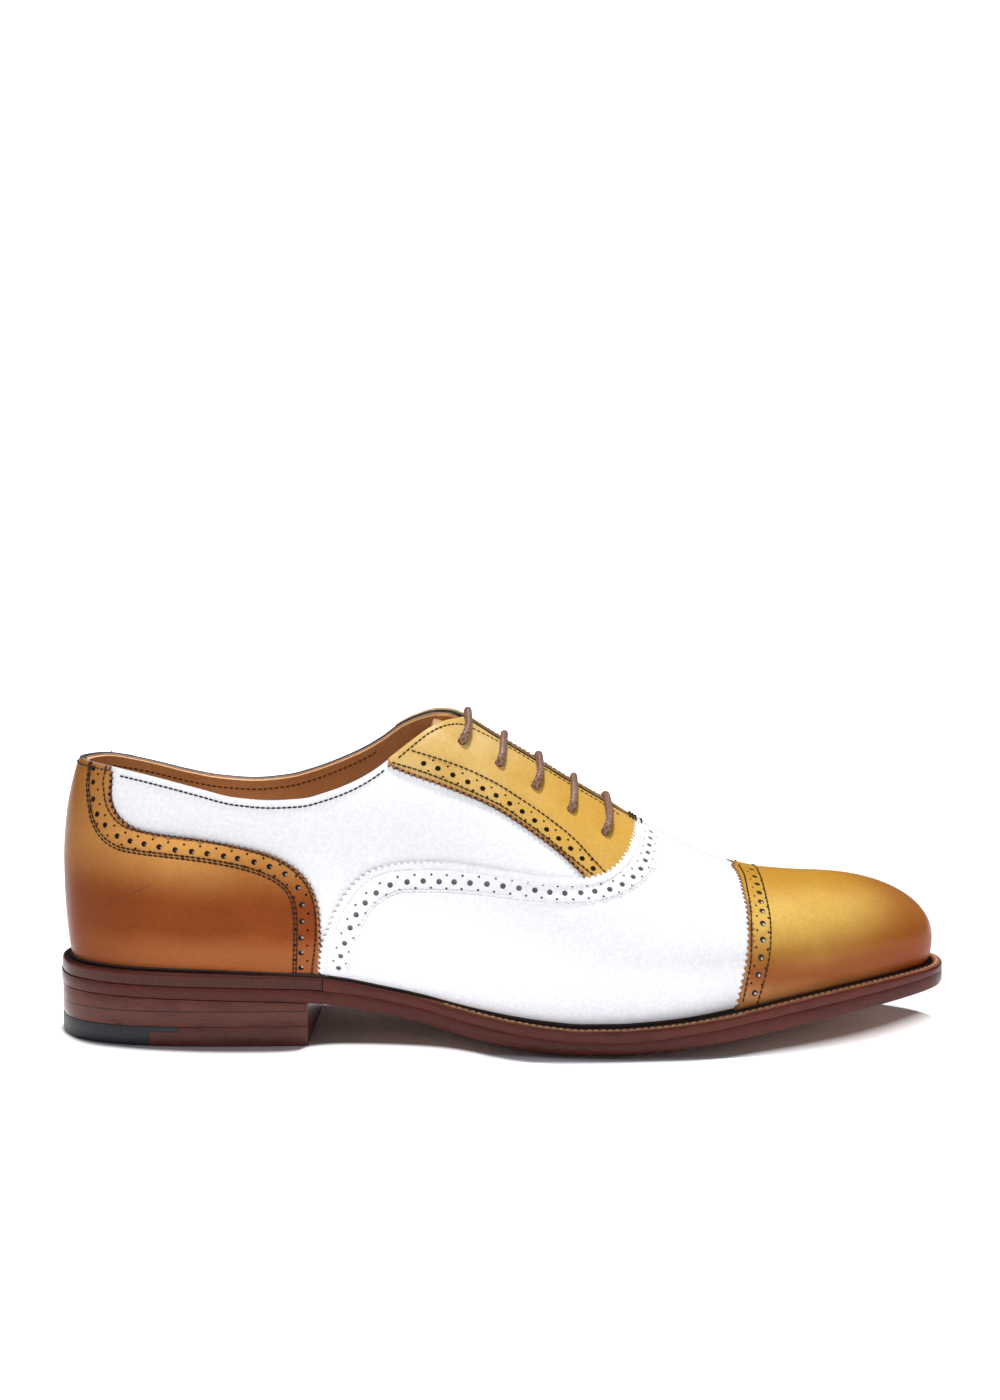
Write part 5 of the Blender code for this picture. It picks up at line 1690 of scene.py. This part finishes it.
def build_insole():
    def low(x):
        return TREAD(x) + OUTSOLE(x) + GAP

    def top(x):
        return welt_top(x) + INSOLE_TOP

    ts = around(0.0, float(EDGE.half), 0.35)
    verts, faces = [], []
    across = 10
    k = None
    for t in ts:
        pts = {}
        for side in (-1, 1):
            pts[side] = [inset(side, t, lambda q, e=e: FEATHER(q) + RING_WIDTH_IN + GAP + 0.1 + e) for e in (0.0, 0.6)]
        a0, a1, b0, b1 = pts[-1][0], pts[-1][1], pts[1][0], pts[1][1]
        row = [(a0[0], a0[1], low(a0[0])), (a0[0], a0[1], top(a0[0]) - 0.5)]
        for i in range(across + 1):
            f = i / across
            x, y = a1[0] * (1 - f) + b1[0] * f, a1[1] * (1 - f) + b1[1] * f
            row.append((x, y, top(x) - 0.35 * (1 - (2 * f - 1) ** 2)))
        row += [(b0[0], b0[1], top(b0[0]) - 0.5), (b0[0], b0[1], low(b0[0]))]
        k = len(row)
        verts += row
    for i in range(len(ts) - 1):
        for a in range(k):
            b = (a + 1) % k
            faces.append((i * k + a, (i + 1) * k + a, (i + 1) * k + b, i * k + b))
    ob = finish_mesh("insole_sock", metres(verts), faces, [SOCK], [0] * len(faces))
    fix_normals(ob)
    bm = bmesh.new()
    bm.from_mesh(ob.data)
    bmesh.ops.holes_fill(bm, edges=[e for e in bm.edges if e.is_boundary], sides=60)
    bmesh.ops.recalc_face_normals(bm, faces=bm.faces)
    bm.to_mesh(ob.data)
    bm.free()
    piece(ob, ("insole",))


def surface_point(x, off):
    side = -1 if off < 0 else 1
    rib = Rib(side, station_of_x(x))
    if abs(off) < 1e-6:
        return rib.at(1.0)
    s = rib.solve(0.3, lambda v: abs(v.y - rib.p[1]) < abs(off))
    return rib.at(s)


def build_tongue():
    xs = np.linspace(TONGUE_X[0], TONGUE_X[1], 40)
    offs = np.linspace(-17.0, 17.0, 27)
    grid = np.zeros((len(xs), len(offs), 3))
    for i, x in enumerate(xs):
        for j, o in enumerate(offs):
            grid[i, j] = tuple(surface_point(x, float(o)))
    c = len(offs) // 2
    for i in range(len(xs)):
        for j in (c - 1, c, c + 1):
            grid[i, j, 2] = 0.5 * (grid[i, c - 2, 2] + grid[i, c + 2, 2]) + 0.25
    du, dv = np.gradient(grid, axis=0), np.gradient(grid, axis=1)
    n = np.cross(du, dv)
    n /= np.linalg.norm(n, axis=2, keepdims=True)
    if n[..., 2].mean() < 0:
        n = -n
    a, b = grid + n * TONGUE_OFF[0], grid + n * TONGUE_OFF[1]
    a[[0, -1]] -= n[[0, -1]] * 0.4
    a[:, [0, -1]] -= n[:, [0, -1]] * 0.5
    nx, ny = len(xs), len(offs)
    verts = np.concatenate([a.reshape(-1, 3), b.reshape(-1, 3)])
    faces = []
    m = nx * ny
    for i in range(nx - 1):
        for j in range(ny - 1):
            q = i * ny + j
            faces.append((q, q + ny, q + ny + 1, q + 1))
            faces.append((m + q, m + q + 1, m + q + ny + 1, m + q + ny))
    rim = [(i * ny, (i + 1) * ny) for i in range(nx - 1)] + [((i + 1) * ny + ny - 1, i * ny + ny - 1) for i in range(nx - 1)]
    rim += [(j + 1, j) for j in range(ny - 1)] + [((nx - 1) * ny + j, (nx - 1) * ny + j + 1) for j in range(ny - 1)]
    for p, q in rim:
        faces.append((p, q, m + q, m + p))
    ob = finish_mesh("tongue_leather_piece", metres(verts), faces, [TONGUE_MAT], [0] * len(faces))
    fix_normals(ob)
    piece(ob, ("tongue",))


# --------------------------------------------------------------- the lace
def tube(points, radius, sides=14, squash=None):
    """Closed tube through points with UVs along and round it."""
    p = np.asarray(points, float)
    n = len(p)
    t = np.gradient(p, axis=0)
    t /= np.linalg.norm(t, axis=1, keepdims=True)
    ref = np.array([1.0, 0.0, 0.0])
    verts, uvs, faces = [], [], []
    run = 0.0
    a = np.cross(t[0], ref)
    a /= np.linalg.norm(a)
    for i in range(n):
        a = a - t[i] * np.dot(a, t[i])
        a /= np.linalg.norm(a)
        b = np.cross(t[i], a)
        if i:
            run += np.linalg.norm(p[i] - p[i - 1])
        for j in range(sides):
            w = 2 * math.pi * j / sides
            verts.append(p[i] + radius * (math.cos(w) * a + math.sin(w) * b))
            uvs.append((run / 2.4, j / sides))
    for i in range(n - 1):
        for j in range(sides):
            k = (j + 1) % sides
            faces.append((i * sides + j, i * sides + k, (i + 1) * sides + k, (i + 1) * sides + j))
    faces.append(tuple(range(sides))[::-1])
    faces.append(tuple(range((n - 1) * sides, n * sides)))
    return verts, faces, uvs


def catmull(points, step=0.7):
    p = [np.array(q, float) for q in points]
    p = [2 * p[0] - p[1]] + p + [2 * p[-1] - p[-2]]
    out = []
    for k in range(1, len(p) - 2):
        a, b, c, d = p[k - 1:k + 3]
        n = max(1, int(np.linalg.norm(c - b) / step))
        for i in range(n):
            t = i / n
            out.append(0.5 * (2 * b + (c - a) * t + (2 * a - 5 * b + 4 * c - d) * t * t
                              + (3 * b - a - 3 * c + d) * t ** 3))
    out.append(p[-2])
    return np.array(out)


def build_lace(eyes):
    """One cord: bars across each pair of eyelets, climbing inside the
    facings from one bar to the next."""
    r = 1.32
    eyes = [np.array(e) for e in eyes]

    def at(k, sign, off, toward=0.0, lean=0.0):
        c = eyes[k] if sign > 0 else other_side(eyes[k])[0]
        c = np.array([c[0] + lean * (1 if c[0] > 0 else -1), c[1] + toward])
        return place([c], off)[0]

    def bar(k, sign):
        """From inside the facing on one side, over, to inside the other."""
        left = [at(k, sign, -3.5), at(k, sign, -1.2), at(k, sign, FACE_H + 0.35, 0.2),
                at(k, sign, FACE_H + r + 0.3, 2.0, 0.35), at(k, sign, FACE_H + r + 0.5, 5.0, 0.9),
                at(k, sign, FACE_H + r + 0.45, 9.0, 1.25)]
        right = [at(k, -sign, FACE_H + r + 0.45, 9.0, 0.6), at(k, -sign, FACE_H + r + 0.5, 5.0, 0.4),
                 at(k, -sign, FACE_H + r + 0.3, 2.0, 0.2), at(k, -sign, FACE_H + 0.35, 0.2),
                 at(k, -sign, -1.2), at(k, -sign, -3.5)]
        a, b = left[-1], right[0]
        top = 0.5 * (a + b)
        ridge = place([[eyes[k][0], RIB]], 0)[0][2]
        top[2] = max(top[2], ridge + FACE_H * 0.6 + r + 0.15)
        return left + [top] + right

    pts = []
    order = list(range(4, -1, -1))
    sign = 1
    # hidden end: from the top eyelet down inside to the lowest
    hide = [at(0, 1, -3.6, -3.0), at(1, 1, -3.6, -3.2), at(2, 1, -3.6, -3.2), at(3, 1, -3.6, -3.0)]
    pts += hide
    for k in order:
        pts += bar(k, sign)
        if k > 0:
            sign = -sign
    path = catmull(pts, 0.6)
    v, f, uv = tube(path, r)
    ob = finish_mesh("lace_cord", metres(v), f, [CORD], [0] * len(f), uv, sharp=70.0)
    piece(ob, ["lace_bar_%d" % k for k in range(1, 6)])


# ------------------------------------------------------------------ stage
# Outline of the floor's shadow, as picture points; beyond it the floor is made to glow (painted light).
SHADOW_EDGE = ((40, 1000), (62, 1024), (70, 1034), (90, 1042), (120, 1046), (170, 1049.5), (240, 1051), (296, 1049.5),
               (310, 1045), (350, 1042.5), (400, 1043.5), (440, 1046), (468, 1050), (496, 1056), (540, 1062.5), (591, 1065.5),
               (640, 1065), (700, 1060.5), (760, 1051), (830, 1038), (880, 1025), (920, 1010), (945, 996), (960, 985))


def floor_at(px, py):
    """Where a line of sight meets the floor, in metres."""
    d = view_ray(px, py)
    t = CAM_FROM[2] / -d[2]
    p = metres([(CAM_FROM[0] + d[0] * t, CAM_FROM[1] + d[1] * t, 0.0)])[0]
    return float(p[0]), float(p[1])


def build_stage():
    me = bpy.data.meshes.new("floor")
    s = 3.0
    me.from_pydata([(-s, -s, 0), (s, -s, 0), (s, s, 0), (-s, s, 0)], [], [(0, 1, 2, 3)])
    floor = bpy.data.objects.new("floor", me)
    bpy.context.scene.collection.objects.link(floor)
    m = bpy.data.materials.new("white_floor_painted_glow")
    m.use_nodes = True
    b = m.node_tree.nodes["Principled BSDF"]
    b.inputs["Base Color"].default_value = (0.91, 0.89, 0.94, 1)
    b.inputs["Roughness"].default_value = 0.9
    b.inputs["Specular IOR Level"].default_value = 0.0
    nt = m.node_tree
    co, ln = nt.nodes.new("ShaderNodeTexCoord"), nt.nodes.new("ShaderNodeVectorMath")
    ln.operation = "LENGTH"
    nt.links.new(co.outputs["Object"], ln.inputs[0])
    # Painted light: the floor glows away from the shoe (far), in front of the shadow outline SHADOW_EDGE (front) and
    # behind the heel (back), so that its shadow shows only inside that outline.
    b.inputs["Emission Color"].default_value = (1, 1, 1, 1)
    far = map_range(nt, ln.outputs["Value"], 0.19, 0.6, 0.0, 0.9)
    sep = nt.nodes.new("ShaderNodeSeparateXYZ")
    nt.links.new(co.outputs["Object"], sep.inputs[0])
    curve = nt.nodes.new("ShaderNodeFloatCurve")
    line = [floor_at(*q) for q in SHADOW_EDGE]
    c = curve.mapping.curves[0]
    fit = [((x + 0.2) / 0.4, (y + 0.1) / 0.2) for x, y in line]
    c.points[0].location, c.points[1].location = (0.0, fit[0][1]), (1.0, fit[-1][1])
    for x, y in fit:
        c.points.new(x, y).handle_type = "AUTO_CLAMPED"
    curve.mapping.update()
    nt.links.new(math_node(nt, "MULTIPLY_ADD", sep.outputs[0], 2.5, 0.5), curve.inputs["Value"])
    edge_y = math_node(nt, "MULTIPLY_ADD", curve.outputs[0], 0.2, -0.1)
    ahead = math_node(nt, "SUBTRACT", edge_y, sep.outputs[1])
    blur = map_range(nt, sep.outputs[0], 0.05, 0.15, 0.004, 0.016)
    front = math_node(nt, "MULTIPLY", math_node(nt, "MINIMUM", math_node(nt, "MAXIMUM",
                      math_node(nt, "DIVIDE", ahead, blur), 0.0), 1.0), 0.95)
    back = map_range(nt, sep.outputs[0], -0.149, -0.155, 0.0, 0.9)
    nt.links.new(math_node(nt, "MAXIMUM", far, math_node(nt, "MAXIMUM", front, back)), b.inputs["Emission Strength"])
    me.materials.append(m)

    def area(name, loc, aim, size, size_y, power, colour=(1, 1, 1)):
        l = bpy.data.lights.new(name, "AREA")
        l.shape, l.size, l.size_y, l.energy, l.color = "RECTANGLE", size, size_y, power, colour
        o = bpy.data.objects.new(name, l)
        o.location = loc
        o.rotation_euler = (Vector(aim) - Vector(loc)).to_track_quat("-Z", "Y").to_euler()
        bpy.context.scene.collection.objects.link(o)
        return o

    area("key_above", (0.0, 0.5, 2.4), (0.0, 0.0, 0.0), 0.26, 0.22, 64.0)
    area("ceiling", (0.0, 0.0, 1.6), (0.0, 0.0, 0.0), 1.5, 1.2, 3.5)
    front = area("front_fill", (-0.25, -0.8, 1.1), (0.0, 0.0, 0.05), 0.9, 0.5, 5.6)
    low = area("low_fill", (0.2, -1.3, 0.45), (0.0, 0.0, 0.05), 1.0, 0.5, 0.9)
    shade = bpy.data.collections.new("unlit_by_fill")
    bpy.context.scene.collection.children.link(shade)
    shade.objects.link(floor)
    shade.collection_objects[0].light_linking.link_state = "EXCLUDE"
    for light in (front, low):
        light.light_linking.receiver_collection = shade
    w = bpy.data.worlds.new("studio")
    bpy.context.scene.world = w
    w.use_nodes = True
    nt = w.node_tree
    for n in list(nt.nodes):
        nt.nodes.remove(n)
    out = nt.nodes.new("ShaderNodeOutputWorld")
    lp = nt.nodes.new("ShaderNodeLightPath")
    a, c, mx = nt.nodes.new("ShaderNodeBackground"), nt.nodes.new("ShaderNodeBackground"), nt.nodes.new("ShaderNodeMixShader")
    a.inputs[0].default_value, a.inputs[1].default_value = (0.82, 0.86, 1.0, 1), 0.09
    c.inputs[0].default_value, c.inputs[1].default_value = (1, 1, 1, 1), 1.15
    nt.links.new(lp.outputs["Is Camera Ray"], mx.inputs[0])
    nt.links.new(a.outputs[0], mx.inputs[1])
    nt.links.new(c.outputs[0], mx.inputs[2])
    nt.links.new(mx.outputs[0], out.inputs[0])


def build_camera():
    cam = bpy.data.cameras.new("photo_view")
    cam.sensor_width, cam.sensor_fit = 36.0, "AUTO"
    cam.lens = CAM_FOCUS / 1400.0 * 36.0
    cam.clip_start = 0.01
    ob = bpy.data.objects.new("photo_view", cam)
    bpy.context.scene.collection.objects.link(ob)
    ob.location = Vector(tuple(metres(CAM_FROM)))
    ob.rotation_euler = (math.pi / 2 - CAM_DOWN, 0, 0)
    bpy.context.scene.camera = ob


TONGUE_X = (131.0, 206.0)
TONGUE_OFF = (-(WALL + 2.75), -(WALL + 4.9))

build_camera()
build_stage()
build_shell_pieces()
tan_holes = build_counter()
lace_eyes = build_facings(tan_holes)
build_vamp()
build_cap(tan_holes)
piece(tan_holes.build("punch_shadows_tan", [HOLE_TAN, HOLE_LIT_PIP]), ())
build_stitching()
piece(NOTCH_SHADOWS.build("pinked_notch_shadows", [TAN_CUT_EDGE_AND_NOTCH_SHADE]), ())
build_welt()
build_rand()
build_feather_shadow()
build_bottom()
build_insole()
build_tongue()
build_lace(lace_eyes)

sc = bpy.context.scene
sc.view_settings.view_transform = "Standard"
sc.view_settings.look = "None"
sc.view_settings.exposure = 0.0
